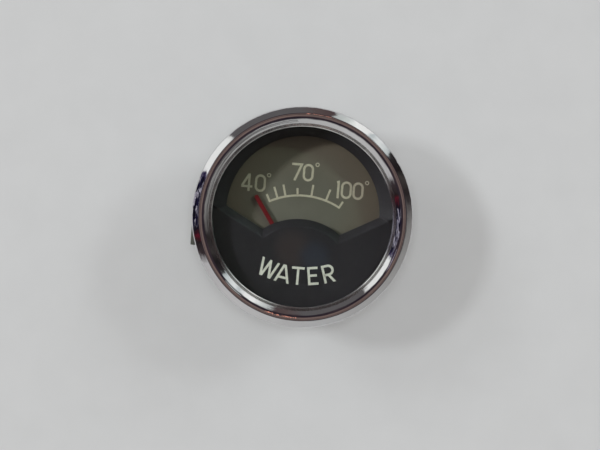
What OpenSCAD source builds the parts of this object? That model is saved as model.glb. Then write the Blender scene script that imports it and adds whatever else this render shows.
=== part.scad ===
// Water temperature gauge for a 52 mm panel hole: an electric thermal gauge with a
// V-section bezel, a shadow-box mask, a bimetal movement, a clamp bracket and a lamp.
// The dial faces +Z and its top points to +Y. The panel's front face is the plane z = 0,
// and the gauge's axis is the Z axis. All sizes are in millimetres.

/* [Bezel] */
// Width by which the bezel stands out beyond the case
bezel_over = 4.1; // [3.9:0.05:4.8]
// Width of the bezel's outer flank
outer_flank = 2.4; // [2.2:0.05:2.8]
// Width of the bezel's inner flank, down to the lip ring
inner_flank = 2.15; // [1.9:0.05:2.4]
// Height in front of the panel at which the two flanks would meet
bezel_h = 5.3; // [5:0.1:6]
// Height of the straight skirt in front of the panel
skirt_h = 3; // [2.6:0.1:3.4]
// Thickness of the bezel's sheet
bezel_t = 0.45; // [0.4:0.05:0.6]
// Radius over the crest
crest_round = 1.3; // [1:0.1:1.5]
// Radius between the skirt and the outer flank
shoulder_round = 0.5; // [0.3:0.1:0.7]
/* [Glass] */
// Width by which the glass rests on the case's flange
glass_seat = 1.7; // [1.4:0.1:1.9]
// Thickness of the glass
glass_t = 1.5; // [1.2:0.1:1.7]
// Thickness of the rubber seal under the glass
seal_t = 0.7; // [0.5:0.1:0.8]
// Width of the serrated lip ring on the glass
lip_w = 2.5; // [2.2:0.1:2.7]
// Thickness of the lip ring's flat rim
lip_t = 0.3; // [0.2:0.05:0.4]
/* [Case] */
// Outer diameter of the case, which passes through the panel
case_d = 51.8; // [50:0.1:54]
// Depth of the case behind the panel
case_depth = 32; // [31:0.5:36]
// Thickness of the case's sheet
case_wall = 0.6; // [0.5:0.05:0.8]
// Outer radius of the case's back corner
case_corner = 1.8; // [1.4:0.1:2.4]
// Width of the bead that the dial rests on
bead_w = 1; // [0.8:0.1:1.2]
/* [Dial and mask] */
// Depth of the dial's face behind the panel plane
dial_depth = 3.4; // [3.2:0.1:4]
// Thickness of the dial plate
dial_t = 0.5; // [0.4:0.1:0.8]
// Width of the mask's cone around the window's upper arc
cone_w = 3.85; // [3.5:0.05:4.4]
// Height of the centre of the window's upper arc above the axis
window_y = 1.25; // [0.8:0.05:1.6]
// Slope of the window's two lower edges
window_slope = 28.5; // [26:0.5:31]
// Distance from the axis down to where the lower edges would meet
window_apex = 9.6; // [9:0.1:10]
// Radius of the hump in the lower edge
hump_r = 17.7; // [17:0.1:18]
// Distance of the hump's centre below the axis
hump_y = 18.1; // [18:0.1:18.6]
// Width of the bevel along the window's lower edges
bevel_w = 2.2; // [1.8:0.1:2.6]
// Thickness of the mask's face
mask_t = 1.1; // [0.9:0.1:1.3]
/* [Needle] */
// Distance of the needle's pivot below the axis
pivot_y = 14.3; // [14:0.1:14.8]
// Length of the needle from pivot to tip
needle_len = 23.4; // [22:0.1:24]
// Width of the needle
needle_w = 1.15; // [1:0.05:1.3]
// Thickness of the needle
needle_t = 0.35; // [0.3:0.05:0.45]
// Angle of the resting needle to the left of the dial's centre line
needle_rest = 34.4; // [32:0.2:36]
// Full swing of the needle
needle_swing = 69; // [64:1:70]
// Diameter of the needle's spindle
spindle_d = 1.2; // [1:0.1:1.4]
/* [Bimetal] */
// Length of the crank on the spindle
crank_len = 2.2; // [2:0.1:2.4]
// Sideways distance of the bimetal strip's bend from the case's wall
strip_inset = 10.3; // [9.9:0.1:11.3]
// Distance between the strip's two legs
leg_gap = 4.2; // [3.8:0.1:4.4]
// Thickness of the bimetal strip
strip_t = 0.4; // [0.3:0.05:0.5]
// Width of the bimetal strip
strip_w = 4.5; // [4:0.1:5]
/* [Movement frame] */
// Distance of the movement plate's front face behind the panel plane
plate_depth = 20.8; // [20:0.1:21.4]
// Thickness of the movement plate
plate_t = 1.2; // [1:0.1:1.5]
// Sideways distance of each dial pillar from the case's wall
pillar_inset = 5.8; // [5.4:0.1:6.2]
// Distance of the dial pillars below the axis
pillar_y = 9; // [8.8:0.1:10]
// Diameter of the dial pillars
pillar_d = 4.4; // [4:0.1:4.6]
/* [Clamp] */
// Sideways distance of each clamp stud from the case's wall
stud_inset = 9.8; // [9.3:0.1:10.3]
// Distance of the clamp studs below the axis
stud_y = 3.4; // [3:0.1:4]
// Diameter of the clamp and terminal studs
stud_d = 4; // [4:0.1:4.4]
// Length of the clamp studs past the knurled nuts
stud_over = 4.5; // [4:0.5:8]
// Smallest gap between the case and a leg of the bracket
leg_clear = 0.7; // [0.5:0.1:1.2]
// Sideways shift of the bracket on its studs
bracket_shift = 0.9; // [0.6:0.1:1.1]
// Width of the bracket's strap
bracket_w = 13; // [12:0.5:14]
// Thickness of the bracket's strap
bracket_t = 1.5; // [1.2:0.1:2]
// Distance of the bracket's leg ends behind the panel plane
leg_end = 1; // [0.9:0.1:2]
// Gap between the case's back and the bracket's strap
strap_gap = 4; // [3.6:0.1:5]
// Outer diameter of the knurled nuts
knob_d = 10; // [9:0.5:11]
// Height of the knurled nuts
knob_h = 5; // [4:0.5:5.5]
/* [Terminals] */
// Distance of each terminal from the case's wall
terminal_inset = 5.9; // [5.9:0.1:6.3]
// Angle of each terminal from the bottom of the gauge
terminal_turn = 34.5; // [33:0.5:36]
// Thickness of each insulating washer
insulator_t = 1.5; // [1.2:0.1:1.8]
// Width across the flats of the hexagon nuts
nut_af = 7; // [6.6:0.1:7.2]
// Height of the hexagon nuts
nut_h = 3.2; // [2.8:0.1:3.4]
// Thickness of the plain washers
washer_t = 0.8; // [0.6:0.1:1]
/* [Lamp] */
// Distance of the lamp above the axis
lamp_y = 14; // [13.6:0.1:14.4]
// Diameter of the bulb's cap
cap_d = 9.1; // [9:0.05:9.3]
// Depth of the lamp socket's rear end behind the case
socket_rear = 8; // [7:0.5:10]
// Reach of the lamp socket into the case
socket_reach = 9; // [8:0.5:10]
// Angle that the bulb turns in its bayonet
bayonet_turn = 30; // [24:1:36]

/* [Hidden] */
$fn = 96;

// Clearances: radial for a turning fit, for a loose hole, and between nested pieces
run_fit = 0.05;
loose_fit = 0.15;
nest_gap = 0.2;
// Depth by which a cutting shape runs past the face that it cuts
cut = 0.5;

case_r = case_d / 2;
case_ri = case_r - case_wall;
bezel_r = case_r + bezel_over;
crest_r = bezel_r - outer_flank;
flank_r = crest_r - inner_flank;
glass_r = case_ri + glass_seat;
lip_r = glass_r - lip_w;
spindle_r = spindle_d / 2;
stud_r = stud_d / 2;
cap_r = cap_d / 2;

// Stack between the panel plane and the bezel's crest
flange_z = bezel_t;
seal_z = flange_z + case_wall;
glass_z = seal_z + seal_t;
lip_z = glass_z + glass_t;
flank_z = lip_z + lip_t;
flange_r = bezel_r - bezel_t - nest_gap;

// Slopes of the bezel's flanks, and the point at one depth under both of them
outer_slope = atan((bezel_h - skirt_h) / (bezel_r - crest_r));
inner_slope = atan((bezel_h - flank_z) / (crest_r - flank_r));
function crest_at(d) =
    let (a = skirt_h + bezel_r * tan(outer_slope) - d / cos(outer_slope),
         b = flank_z - flank_r * tan(inner_slope) - d / cos(inner_slope),
         r = (a - b) / (tan(outer_slope) + tan(inner_slope)))
    [r, b + r * tan(inner_slope)];
shoulder = [bezel_r - shoulder_round, skirt_h - shoulder_round * tan((90 - outer_slope) / 2)];
function arc(centre, r, from, to, steps) =
    [for (i = [0 : steps]) let (t = from + (to - from) * i / steps)
        centre + r * [cos(t), sin(t)]];

// Levels of the dial, the mask and the needle, from the back to the front
dial_z = -dial_depth;
dial_back = dial_z - dial_t;
needle_z = dial_z + 0.65;
mask_edge_z = needle_z + needle_t + 0.5;
mask_rim_z = glass_z - 0.05;
mask_face_z = mask_edge_z + bevel_w;
mask_r = case_ri - loose_fit;
mask_wall = 0.75;
opening_r = lip_r + 0.1;
window_r = opening_r - cone_w;
pocket_z = mask_face_z - mask_t;

// Places that keep their distance from the case's wall
pillar_x = case_ri - pillar_inset;
stud_x = case_ri - stud_inset;
strip_len = case_ri - strip_inset;
terminal_x = (case_ri - terminal_inset) * sin(terminal_turn);
terminal_y = (case_ri - terminal_inset) * cos(terminal_turn);

// Levels of the movement
plate_z = -plate_depth;
plate_back = plate_z - plate_t;
base_z = -case_depth + case_wall;
bridge_z = dial_back - 2.9;
bridge_t = 1;
crank_z = bridge_z - bridge_t - 2.2;
crank_t = 0.6;
pin_r = 0.4;
fork_z = crank_z - 2;
fork_t = 0.5;
strip_z = fork_z + fork_t - strip_w;
arm_rest = atan(crank_len * sin(needle_rest) / (strip_len - crank_len * cos(needle_rest)));
bend_r = leg_gap / 2;
hinge_gap = 0.1;

// Terminals, outside the case from the front to the back. A stud's thread has its pitch
// diameter inside the nuts and its full diameter at the free end
washer_z = -case_depth - insulator_t;
first_nut_z = washer_z - washer_t;
second_nut_z = first_nut_z - nut_h - washer_t;
head_z = base_z + insulator_t;
insulator_r = stud_r + 2.6;
pitch_r = stud_r * 0.886;
free_z = second_nut_z - nut_h - 0.1;

// Clamp
strap_z = -case_depth - strap_gap;
strap_back = strap_z - bracket_t;
spring_t = 1;
knob_back = strap_back - spring_t - knob_h;
stud_end = knob_back - stud_over;
bracket_half = case_r + leg_clear + bracket_shift + bracket_t;
thin_nut_h = 2.4;
slot_r = stud_r + 0.2;
slot_half = bracket_shift + 0.3;

// Lamp
tube_r = cap_r + 0.15;
tube_t = 0.5;
socket_back = -case_depth - socket_rear;
socket_front = -case_depth + socket_reach;
flange_t = 0.8;
claw_out = tube_r + tube_t + 0.95;
lamp_hole_r = claw_out + loose_fit;
bulb_pin_r = 0.9;
cap_lift = 3.6;
cap_h = 9.2;
cap_back = socket_back + cap_lift;
cap_front = cap_back + cap_h;
bayonet_z = cap_front - 2.2;

module disc(r, z0, z1) translate([0, 0, z0]) cylinder(r = r, h = z1 - z0);
module tube(r_out, r_in, z0, z1) difference() {
    disc(r_out, z0, z1);
    disc(r_in, z0 - cut, z1 + cut);
}
module box(low, high) translate(low) cube(high - low);
module both_sides(x, y) for (side = [-1, 1]) translate([side * x, y, 0]) children();
module hex_nut(z0, h, bore) difference() {
    translate([0, 0, z0]) cylinder(d = nut_af / cos(30), h = h, $fn = 6);
    disc(bore, z0 - cut, z0 + h + cut);
}
module at_pivot() translate([0, -pivot_y, 0]) children();
module at_lamp() translate([0, lamp_y, 0]) children();
module at_hinge() translate([-strip_len, -pivot_y, 0]) rotate([0, 0, -arm_rest]) children();

// V-section ring of chromed brass sheet, closed behind the case's flange
module bezel() color("gainsboro") rotate_extrude() polygon(concat(
    [[case_r + nest_gap, 0], [bezel_r - bezel_t, 0], [bezel_r, bezel_t]],
    arc(shoulder, shoulder_round, 0, 90 - outer_slope, 4),
    arc(crest_at(crest_round), crest_round, 90 - outer_slope, 90 + inner_slope, 12),
    [[flank_r, flank_z], [flank_r + bezel_t / sin(inner_slope), flank_z]],
    arc(crest_at(crest_round), crest_round - bezel_t, 90 + inner_slope, 90 - outer_slope, 8),
    [[bezel_r - bezel_t, skirt_h + bezel_t * (sin(outer_slope) - 1) / cos(outer_slope)],
     [bezel_r - bezel_t, bezel_t], [case_r + nest_gap, bezel_t]]));

// Thin ring between the bezel and the glass, dished towards the dial
module lip_ring() color("silver") rotate_extrude() polygon([[lip_r, lip_z],
    [glass_r, lip_z], [glass_r, lip_z + lip_t * 0.6], [flank_r + 0.6, flank_z],
    [flank_r - 0.1, flank_z], [lip_r, lip_z + lip_t * 0.4]]);

// Flat glass with a ground edge
module glass() color("lightcyan", 0.35) rotate_extrude() polygon([[0, glass_z],
    [glass_r - 0.2, glass_z], [glass_r, glass_z + 0.2], [glass_r, lip_z - 0.2],
    [glass_r - 0.2, lip_z], [0, lip_z]]);

// Rubber ring between the case's flange and the glass
module glass_seal() color("dimgray") tube(glass_r + 0.3, case_ri, seal_z, glass_z);

// Drawn steel case: flange, shouldered bead for the dial, and a pierced back
module case() color("darkgray") difference() {
    rotate_extrude() polygon(concat(
        [[flange_r, flange_z], [case_r, flange_z],
         [case_r, dial_back - case_wall], [case_r - bead_w, dial_back - case_wall],
         [case_r - bead_w, dial_back - case_wall - 1.1], [case_r, dial_back - case_wall - 1.1 - bead_w]],
        arc([case_r - case_corner, -case_depth + case_corner], case_corner, 0, -90, 8),
        [[0, -case_depth], [0, base_z]],
        arc([case_r - case_corner, -case_depth + case_corner], case_corner - case_wall, -90, 0, 8),
        [[case_ri, dial_back - case_wall - 1.35 - bead_w], [case_ri - bead_w, dial_back - case_wall - 1.35],
         [case_ri - bead_w, dial_back], [case_ri, dial_back],
         [case_ri, seal_z], [flange_r, seal_z]]));
    both_sides(stud_x, -stud_y) disc(stud_r + loose_fit, -case_depth - cut, base_z + cut);
    both_sides(terminal_x, -terminal_y) disc(stud_r + 2.2, -case_depth - cut, base_z + cut);
    at_lamp() disc(lamp_hole_r, -case_depth - cut, base_z + cut);
    translate(adjuster_hole) disc(1.6, -case_depth - cut, base_z + cut);
}

// Region above the two lower edges of the window, moved down square to them by drop
module above_edges(drop) {
    apex = -window_apex - drop / cos(window_slope);
    far = 2 * case_r;
    polygon([[0, apex], [far, apex + far * tan(window_slope)], [far, far], [-far, far],
        [-far, apex + far * tan(window_slope)]]);
}
module window_outline() intersection() {
    translate([0, window_y]) circle(window_r);
    above_edges(0);
}
module rim_outline() intersection() {
    circle(opening_r);
    above_edges(bevel_w * (mask_rim_z - mask_edge_z) / (mask_face_z - mask_edge_z));
}
// Moulded mask: a cone down to the window, bevelled edges, a hump over the pivot and a
// hollow back that clears the needle
module mask() color([0.12, 0.12, 0.13]) difference() {
    union() {
        disc(mask_r, mask_edge_z, mask_rim_z);
        tube(mask_r, mask_r - mask_wall, dial_z, mask_edge_z);
    }
    difference() {
        hull() {
            translate([0, 0, mask_rim_z]) linear_extrude(0.02) rim_outline($fn = 120);
            translate([0, 0, mask_edge_z - 0.02]) linear_extrude(0.02) window_outline($fn = 120);
        }
        translate([0, -hump_y, mask_edge_z - cut])
            cylinder(r1 = hump_r + cut, r2 = hump_r - bevel_w, h = bevel_w + cut);
    }
    translate([0, 0, mask_face_z]) linear_extrude(mask_rim_z) difference() {
        circle(opening_r);
        above_edges(bevel_w);
    }
    translate([0, 0, mask_edge_z - cut]) linear_extrude(pocket_z - mask_edge_z + cut) intersection() {
        circle(mask_r - 2 * mask_wall);
        union() {
            difference() {
                circle(mask_r);
                above_edges(bevel_w + mask_wall);
            }
            translate([0, -hump_y]) circle(hump_r - bevel_w - mask_wall);
        }
    }
}

// Printed dial plate with its spindle hole, screw holes and light slots behind the mask
module dial_plate() color([0.33, 0.32, 0.27]) difference() {
    disc(mask_r, dial_back, dial_z);
    at_pivot() disc(spindle_r + 0.8, dial_back - cut, dial_z + cut);
    both_sides(pillar_x, -pillar_y) disc(screw_r + loose_fit, dial_back - cut, dial_z + cut);
    stops() disc(stop_r, dial_back - cut, dial_z + cut);
    for (turn = [55, 90, 125]) rotate([0, 0, turn]) translate([mask_r - 2.1, 0, dial_back - cut])
        linear_extrude(dial_t + 2 * cut) square([1, 9], center = true);
}

screw_r = 1;
module cheese_screw(z0, grip) {
    disc(1.9, z0, z0 + 1.2);
    disc(screw_r, z0 - grip, z0);
}
module dial_screws() color("khaki") both_sides(pillar_x, -pillar_y) difference() {
    cheese_screw(dial_z, dial_t + 4);
    box([-2, -0.25, dial_z + 0.7], [2, 0.25, dial_z + 2]);
}
module dial_pillars() color("goldenrod") both_sides(pillar_x, -pillar_y) difference() {
    union() {
        disc(pillar_d / 2, plate_z, dial_back);
        disc(pillar_d / 4, plate_back - 0.4, plate_z);
    }
    disc(screw_r + 0.02, dial_back - 5, dial_back + cut);
}

// Two pins that stop the needle at the ends of its swing
stop_r = 0.5;
stop_reach = 8;
stop_turn = asin((needle_w / 2 + stop_r + 0.1) / stop_reach);
module stops() at_pivot() for (turn = [needle_rest + stop_turn, needle_rest - needle_swing - stop_turn])
    rotate([0, 0, turn]) translate([0, stop_reach, 0]) children();
module needle_stops() color("silver") stops() disc(stop_r, dial_back, needle_z + needle_t + 0.25);

// Pointer stamped from sheet, with a rounded tip and a balanced tail
hub_r = spindle_r + 1;
tail = 5.2;
module needle() color([0.6, 0.05, 0.1]) at_pivot() rotate([0, 0, needle_rest])
    translate([0, 0, needle_z]) linear_extrude(needle_t) difference() {
        union() {
            translate([-needle_w / 2, 0]) square([needle_w, needle_len - needle_w / 2]);
            translate([0, needle_len - needle_w / 2]) circle(needle_w / 2);
            circle(hub_r + 0.8);
            translate([-needle_w / 2, -tail]) square([needle_w, tail]);
            translate([0, -tail]) circle(1.7);
        }
        circle(hub_r);
    }
module needle_hub() color("goldenrod") at_pivot() difference() {
    disc(hub_r, dial_z + 0.25, needle_z + needle_t + 0.3);
    disc(spindle_r, dial_z, needle_z + 2);
}
module spindle() color("lightgray") at_pivot() {
    disc(spindle_r, plate_back - 0.9, needle_z + needle_t + 0.2);
    disc(spindle_r + 0.5, plate_z + 0.5 + run_fit, plate_z + 1.2);
}
module crank() color("silver") at_pivot() rotate([0, 0, needle_rest]) {
    difference() {
        union() {
            disc(spindle_r + 0.9, crank_z, crank_z + crank_t + 0.6);
            box([-crank_len, -0.8, crank_z], [0, 0.8, crank_z + crank_t]);
            translate([-crank_len, 0, 0]) disc(0.8, crank_z, crank_z + crank_t);
        }
        disc(spindle_r, crank_z - cut, crank_z + 2);
    }
    translate([-crank_len, 0, 0]) disc(pin_r, fork_z - 0.8, crank_z);
}

// Flanged bushes, one in the bridge and one in the movement plate
module spindle_bushes() color("goldenrod") at_pivot() difference() {
    union() {
        disc(spindle_r + 0.6, bridge_z - bridge_t - 0.4, bridge_z);
        disc(spindle_r + 1.2, bridge_z, bridge_z + 0.5);
        disc(spindle_r + 0.6, plate_back - 0.4, plate_z);
        disc(spindle_r + 1.2, plate_z, plate_z + 0.5);
    }
    disc(spindle_r + run_fit, plate_back - 2, bridge_z + 2);
}

// Folded bridge that carries the front bush over the crank
bridge_x = crank_len + 1.8;
bridge_w = 6;
module bearing_bridge() color("darkkhaki") at_pivot() difference() {
    union() {
        box([bridge_x, -bridge_w / 2, plate_z], [bridge_x + 7, bridge_w / 2, plate_z + bridge_t]);
        box([bridge_x, -bridge_w / 2, plate_z], [bridge_x + bridge_t, bridge_w / 2, bridge_z]);
        box([0, -bridge_w / 2, bridge_z - bridge_t], [bridge_x + bridge_t, bridge_w / 2, bridge_z]);
        disc(bridge_w / 2, bridge_z - bridge_t, bridge_z);
    }
    disc(spindle_r + 0.6, bridge_z - bridge_t - cut, bridge_z + cut);
    bridge_holes() disc(screw_r, plate_z - cut, plate_z + bridge_t + cut);
}
module bridge_holes() for (y = [-1.4, 1.4]) translate([bridge_x + 4, y * 1.1, 0]) children();
module bridge_screws() color("silver") at_pivot() bridge_holes() {
    disc(1.4, plate_z + bridge_t, plate_z + bridge_t + 0.8);
    disc(screw_r, plate_back, plate_z + bridge_t);
}

// Plate that carries the whole movement, cut off straight below the lamp
module movement_plate() color("lightsteelblue") difference() {
    intersection() {
        disc(case_ri - 1.4, plate_back, plate_z);
        box([-case_r, -case_r, plate_back], [case_r, stud_r + 0.5, plate_z]);
    }
    both_sides(stud_x, -stud_y) disc(stud_r + loose_fit, plate_back - cut, plate_z + cut);
    both_sides(pillar_x, -pillar_y) disc(pillar_d / 4, plate_back - cut, plate_z + cut);
    at_pivot() disc(spindle_r + 0.6, plate_back - cut, plate_z + cut);
    at_pivot() bridge_holes() disc(screw_r, plate_back - cut, plate_z + cut);
    translate(sector_pivot) disc(rivet_r, plate_back - cut, plate_z + cut);
    for (side = [0, 1]) mirror([side, 0, 0]) translate([tab_x - 0.6, tab_y - 0.6, plate_back - cut])
        cube([tab_t + 1.2, tab_w + 1.2, plate_t + 2 * cut]);
}

// Active leg of the bimetal, which bends at its root; drawn cold, with the needle at rest
arm_reach = strip_len - 4.2;
module bimetal_arm() color("sandybrown") at_hinge() {
    box([0, -strip_t / 2, strip_z], [arm_reach, strip_t / 2, strip_z + strip_w]);
    disc(strip_t / 2, strip_z, strip_z + strip_w);
}
wrap_t = 0.2;
wrap_from = 1.6;
wrap_to = strip_len - 5.6;
module arm_insulation() color("wheat") at_hinge() difference() {
    box([wrap_from, -strip_t / 2 - wrap_t, strip_z - wrap_t],
        [wrap_to, strip_t / 2 + wrap_t, strip_z + strip_w + wrap_t]);
    box([wrap_from - cut, -strip_t / 2, strip_z], [wrap_to + cut, strip_t / 2, strip_z + strip_w]);
}
// Resistance wire wound over the insulation, as a close layer with raised turns
wire_t = 0.3;
turns = 16;
module heater_winding() color("peru") at_hinge() difference() {
    union() {
        winding_layer(wrap_from + 0.4, wrap_to - 0.4, 0.12);
        for (i = [0 : turns - 1]) {
            x = wrap_from + 0.4 + (wrap_to - wrap_from - 0.8 - wire_t) * i / (turns - 1);
            winding_layer(x, x + wire_t, wire_t);
        }
    }
    winding_layer(wrap_from - cut, wrap_to + cut, 0);
}
module winding_layer(x0, x1, t) box([x0, -strip_t / 2 - wrap_t - t, strip_z - wrap_t - t],
    [x1, strip_t / 2 + wrap_t + t, strip_z + strip_w + wrap_t + t]);
// Fork on the arm's tip, whose slot takes the crank pin
fork_w = 2.6;
fork_root = wrap_to + 0.15;
fork_reach = strip_len - 1.4;
fork_slot = pin_r + 0.1;
module drive_fork() color("silver") at_hinge() difference() {
    union() {
        box([fork_root, strip_t / 2, fork_z - 1.6], [arm_reach, strip_t / 2 + 0.4, fork_z + fork_t]);
        box([arm_reach, -fork_w / 2, fork_z], [fork_reach, fork_w / 2, fork_z + fork_t]);
        box([fork_root, strip_t / 2, fork_z], [arm_reach, fork_w / 2, fork_z + fork_t]);
    }
    box([strip_len - crank_len - 1, -fork_slot, fork_z - cut], [fork_reach + cut, fork_slot, fork_z + fork_t + cut]);
}
// Compensating leg and the bend, which stay put
module compensating_leg() color("sandybrown") translate([-strip_len, -pivot_y + bend_r, strip_z]) {
    linear_extrude(strip_w) {
        difference() {
            circle(bend_r + strip_t / 2);
            circle(bend_r - strip_t / 2);
            translate([0, -2 * leg_gap]) square(4 * leg_gap);
            translate([-strip_t / 2 - hinge_gap, -2 * leg_gap]) square([leg_gap, 2 * leg_gap]);
        }
        translate([0, bend_r - strip_t / 2]) square([anchor_len, strip_t]);
    }
}
// Toothed sector that sets the zero: its upright lug carries the compensating leg
anchor_len = strip_len - 4;
sector_t = 1;
sector_pivot = [-1.5, -5.6, 0];
rivet_r = 1.2;
sector_r = 6.4;
lug_y = -pivot_y + leg_gap + strip_t / 2;
adjuster_hole = [sector_pivot[0] + sector_r + 0.6, sector_pivot[1], 0];
module zero_sector() color("tan") {
    translate(sector_pivot) difference() {
        union() {
            disc(2.6, plate_z, plate_z + sector_t);
            translate([0, 0, plate_z]) linear_extrude(sector_t) intersection() {
                circle(sector_r);
                polygon([[0, 0], [2 * sector_r, sector_r], [2 * sector_r, -sector_r]]);
            }
            for (i = [-4 : 4]) rotate([0, 0, i * 5.6]) translate([sector_r, 0, plate_z])
                linear_extrude(sector_t) polygon([[-0.3, -0.28], [0.7, -0.12], [0.7, 0.12], [-0.3, 0.28]]);
        }
        disc(rivet_r, plate_z - cut, plate_z + sector_t + cut);
    }
    box([-strip_len + anchor_len - 3, lug_y, plate_z], [sector_pivot[0], lug_y + sector_t, plate_z + sector_t]);
    box([-strip_len + anchor_len - 3, lug_y, plate_z], [-strip_len + anchor_len, lug_y + sector_t, strip_z + strip_w]);
    box([sector_pivot[0] - 1.2, lug_y, plate_z], [sector_pivot[0] + 1.2, sector_pivot[1] - rivet_r - 0.6, plate_z + sector_t]);
}
module sector_rivet() color("goldenrod") translate(sector_pivot) {
    disc(rivet_r, plate_back - 0.5, plate_z + sector_t);
    disc(rivet_r + 0.8, plate_z + sector_t, plate_z + sector_t + 0.7);
}

// Folded brass strips that carry the current from the terminals through the movement plate
tab_t = 0.4;
tab_w = 3;
tab_x = terminal_x + nut_af / 2 / cos(30) + 0.3;
tab_y = -terminal_y + 0.5;
tag_z = strip_z - 1.8;
module terminal_strips() color("goldenrod") for (side = [0, 1]) mirror([side, 0, 0]) {
    difference() {
        union() {
            translate([terminal_x, -terminal_y, 0]) disc(3.4, head_z, head_z + 0.6);
            box([terminal_x, tab_y, head_z], [tab_x + tab_t, tab_y + tab_w, head_z + 0.6]);
        }
        translate([terminal_x, -terminal_y, 0]) disc(stud_r + run_fit, head_z - cut, head_z + 2);
    }
    box([tab_x, tab_y, head_z], [tab_x + tab_t, tab_y + tab_w, tag_z]);
}
// Two fine leads from the strips to the winding's root, where the arm hardly moves
lead_r = 0.2;
lead_gap = 0.3;
lead_end = [-strip_len + wrap_from + 0.8, -pivot_y, strip_z - wrap_t - wire_t - lead_gap];
module rod(points) for (i = [1 : len(points) - 1]) {
    d = points[i] - points[i - 1];
    translate(points[i - 1]) rotate([0, acos(d[2] / norm(d)), atan2(d[1], d[0])])
        cylinder(r = lead_r, h = norm(d), $fn = 24);
    if (i < len(points) - 1) translate(points[i]) sphere(r = lead_r + 0.04, $fn = 24);
}
module winding_leads() color("firebrick") {
    inner_x = tab_x - lead_r;
    lead_y = -pivot_y - bridge_w / 2 - 1.7;
    rod([[-inner_x, tab_y + 1.5, tag_z - 0.8], [-inner_x + 0.7, tab_y + 1.2, tag_z - 0.4], lead_end]);
    rod([[inner_x, tab_y + 1.5, tag_z - 0.8], [inner_x - 1.5, lead_y, tag_z - 1],
        [lead_end[0] + 1.5, lead_y, tag_z - 1], lead_end + [0.6, -0.2, 0]]);
}

// Terminals: headed studs held through the case by insulating bushes
module terminal_studs() color("goldenrod") both_sides(terminal_x, -terminal_y) {
    disc(stud_r, stud_end, free_z);
    disc(pitch_r, free_z, head_z + 0.6);
    translate([0, 0, head_z + 0.6]) cylinder(d = nut_af / cos(30), h = 1.8, $fn = 6);
}
module inner_insulators() color("saddlebrown") both_sides(terminal_x, -terminal_y) difference() {
    union() {
        disc(insulator_r, base_z, head_z);
        disc(stud_r + 2.1, -case_depth, base_z);
    }
    disc(stud_r + run_fit, -case_depth - cut, head_z + cut);
}
module outer_insulators() color("saddlebrown") both_sides(terminal_x, -terminal_y)
    tube(insulator_r, stud_r + run_fit, washer_z, -case_depth);
module terminal_washers() color("gold") both_sides(terminal_x, -terminal_y) {
    tube(stud_r + 2.3, stud_r + run_fit, first_nut_z, washer_z);
    tube(stud_r + 2.3, stud_r + run_fit, second_nut_z, second_nut_z + washer_t);
}
module terminal_nuts() color("goldenrod") both_sides(terminal_x, -terminal_y) {
    hex_nut(first_nut_z - nut_h, nut_h, pitch_r + run_fit);
    hex_nut(second_nut_z - nut_h, nut_h, pitch_r + run_fit);
}

// Shouldered studs that hold the movement off the case's back and carry the clamp
module clamp_studs() color("silver") both_sides(stud_x, -stud_y) {
    disc(stud_r, stud_end, plate_z + nut_h + 0.6);
    disc(stud_r + 1.5, base_z, plate_back);
}
module frame_nuts() color("silver") both_sides(stud_x, -stud_y) hex_nut(plate_z, nut_h, stud_r + run_fit);
module case_nuts() color("silver") both_sides(stud_x, -stud_y)
    hex_nut(-case_depth - thin_nut_h, thin_nut_h, stud_r + run_fit);

// U-shaped strap with slots for the studs and legs that press on the panel's back
module strap_outline(half, back, bend) polygon(concat(
    [[-half, -leg_end]], arc([-half + bend, back + bend], bend, 180, 270, 8),
    arc([half - bend, back + bend], bend, 270, 360, 8), [[half, -leg_end]]));
module clamp_bracket() color("gray") difference() {
    translate([-bracket_shift, -stud_y + bracket_w / 2, 0]) rotate([90, 0, 0]) linear_extrude(bracket_w)
        difference() {
            strap_outline(bracket_half, strap_back, bracket_t + 1.5);
            intersection() {
                strap_outline(bracket_half - bracket_t, strap_z, 1.5);
                translate([-bracket_half, strap_z]) square([2 * bracket_half, case_depth + strap_gap]);
            }
        }
    both_sides(stud_x, -stud_y) translate([-bracket_shift, 0, 0]) {
        for (end = [-1, 1]) translate([end * slot_half, 0, 0]) disc(slot_r, strap_back - cut, strap_z + cut);
        box([-slot_half, -slot_r, strap_back - cut], [slot_half, slot_r, strap_z + cut]);
    }
}
module spring_washers() color("dimgray") both_sides(stud_x, -stud_y) difference() {
    tube(stud_r + 1.7, stud_r + loose_fit, strap_back - spring_t, strap_back);
    rotate([20, 0, 0]) box([0, -0.35, stud_end], [stud_r + 3, 0.35, 0]);
}
// Round nut with a collar and a knurled rim
module clamp_nut(side) color("gold") translate([side * stud_x, -stud_y, knob_back])
    difference() {
        union() {
            translate([0, 0, 0.4]) cylinder(d = knob_d, h = knob_h - 2);
            cylinder(d1 = knob_d - 0.8, d2 = knob_d, h = 0.4);
            cylinder(d = knob_d - 2.4, h = knob_h);
        }
        disc(stud_r + run_fit, -cut, knob_h + cut);
    }
module clamp_nut_left() clamp_nut(-1);
module clamp_nut_right() clamp_nut(1);

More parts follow.
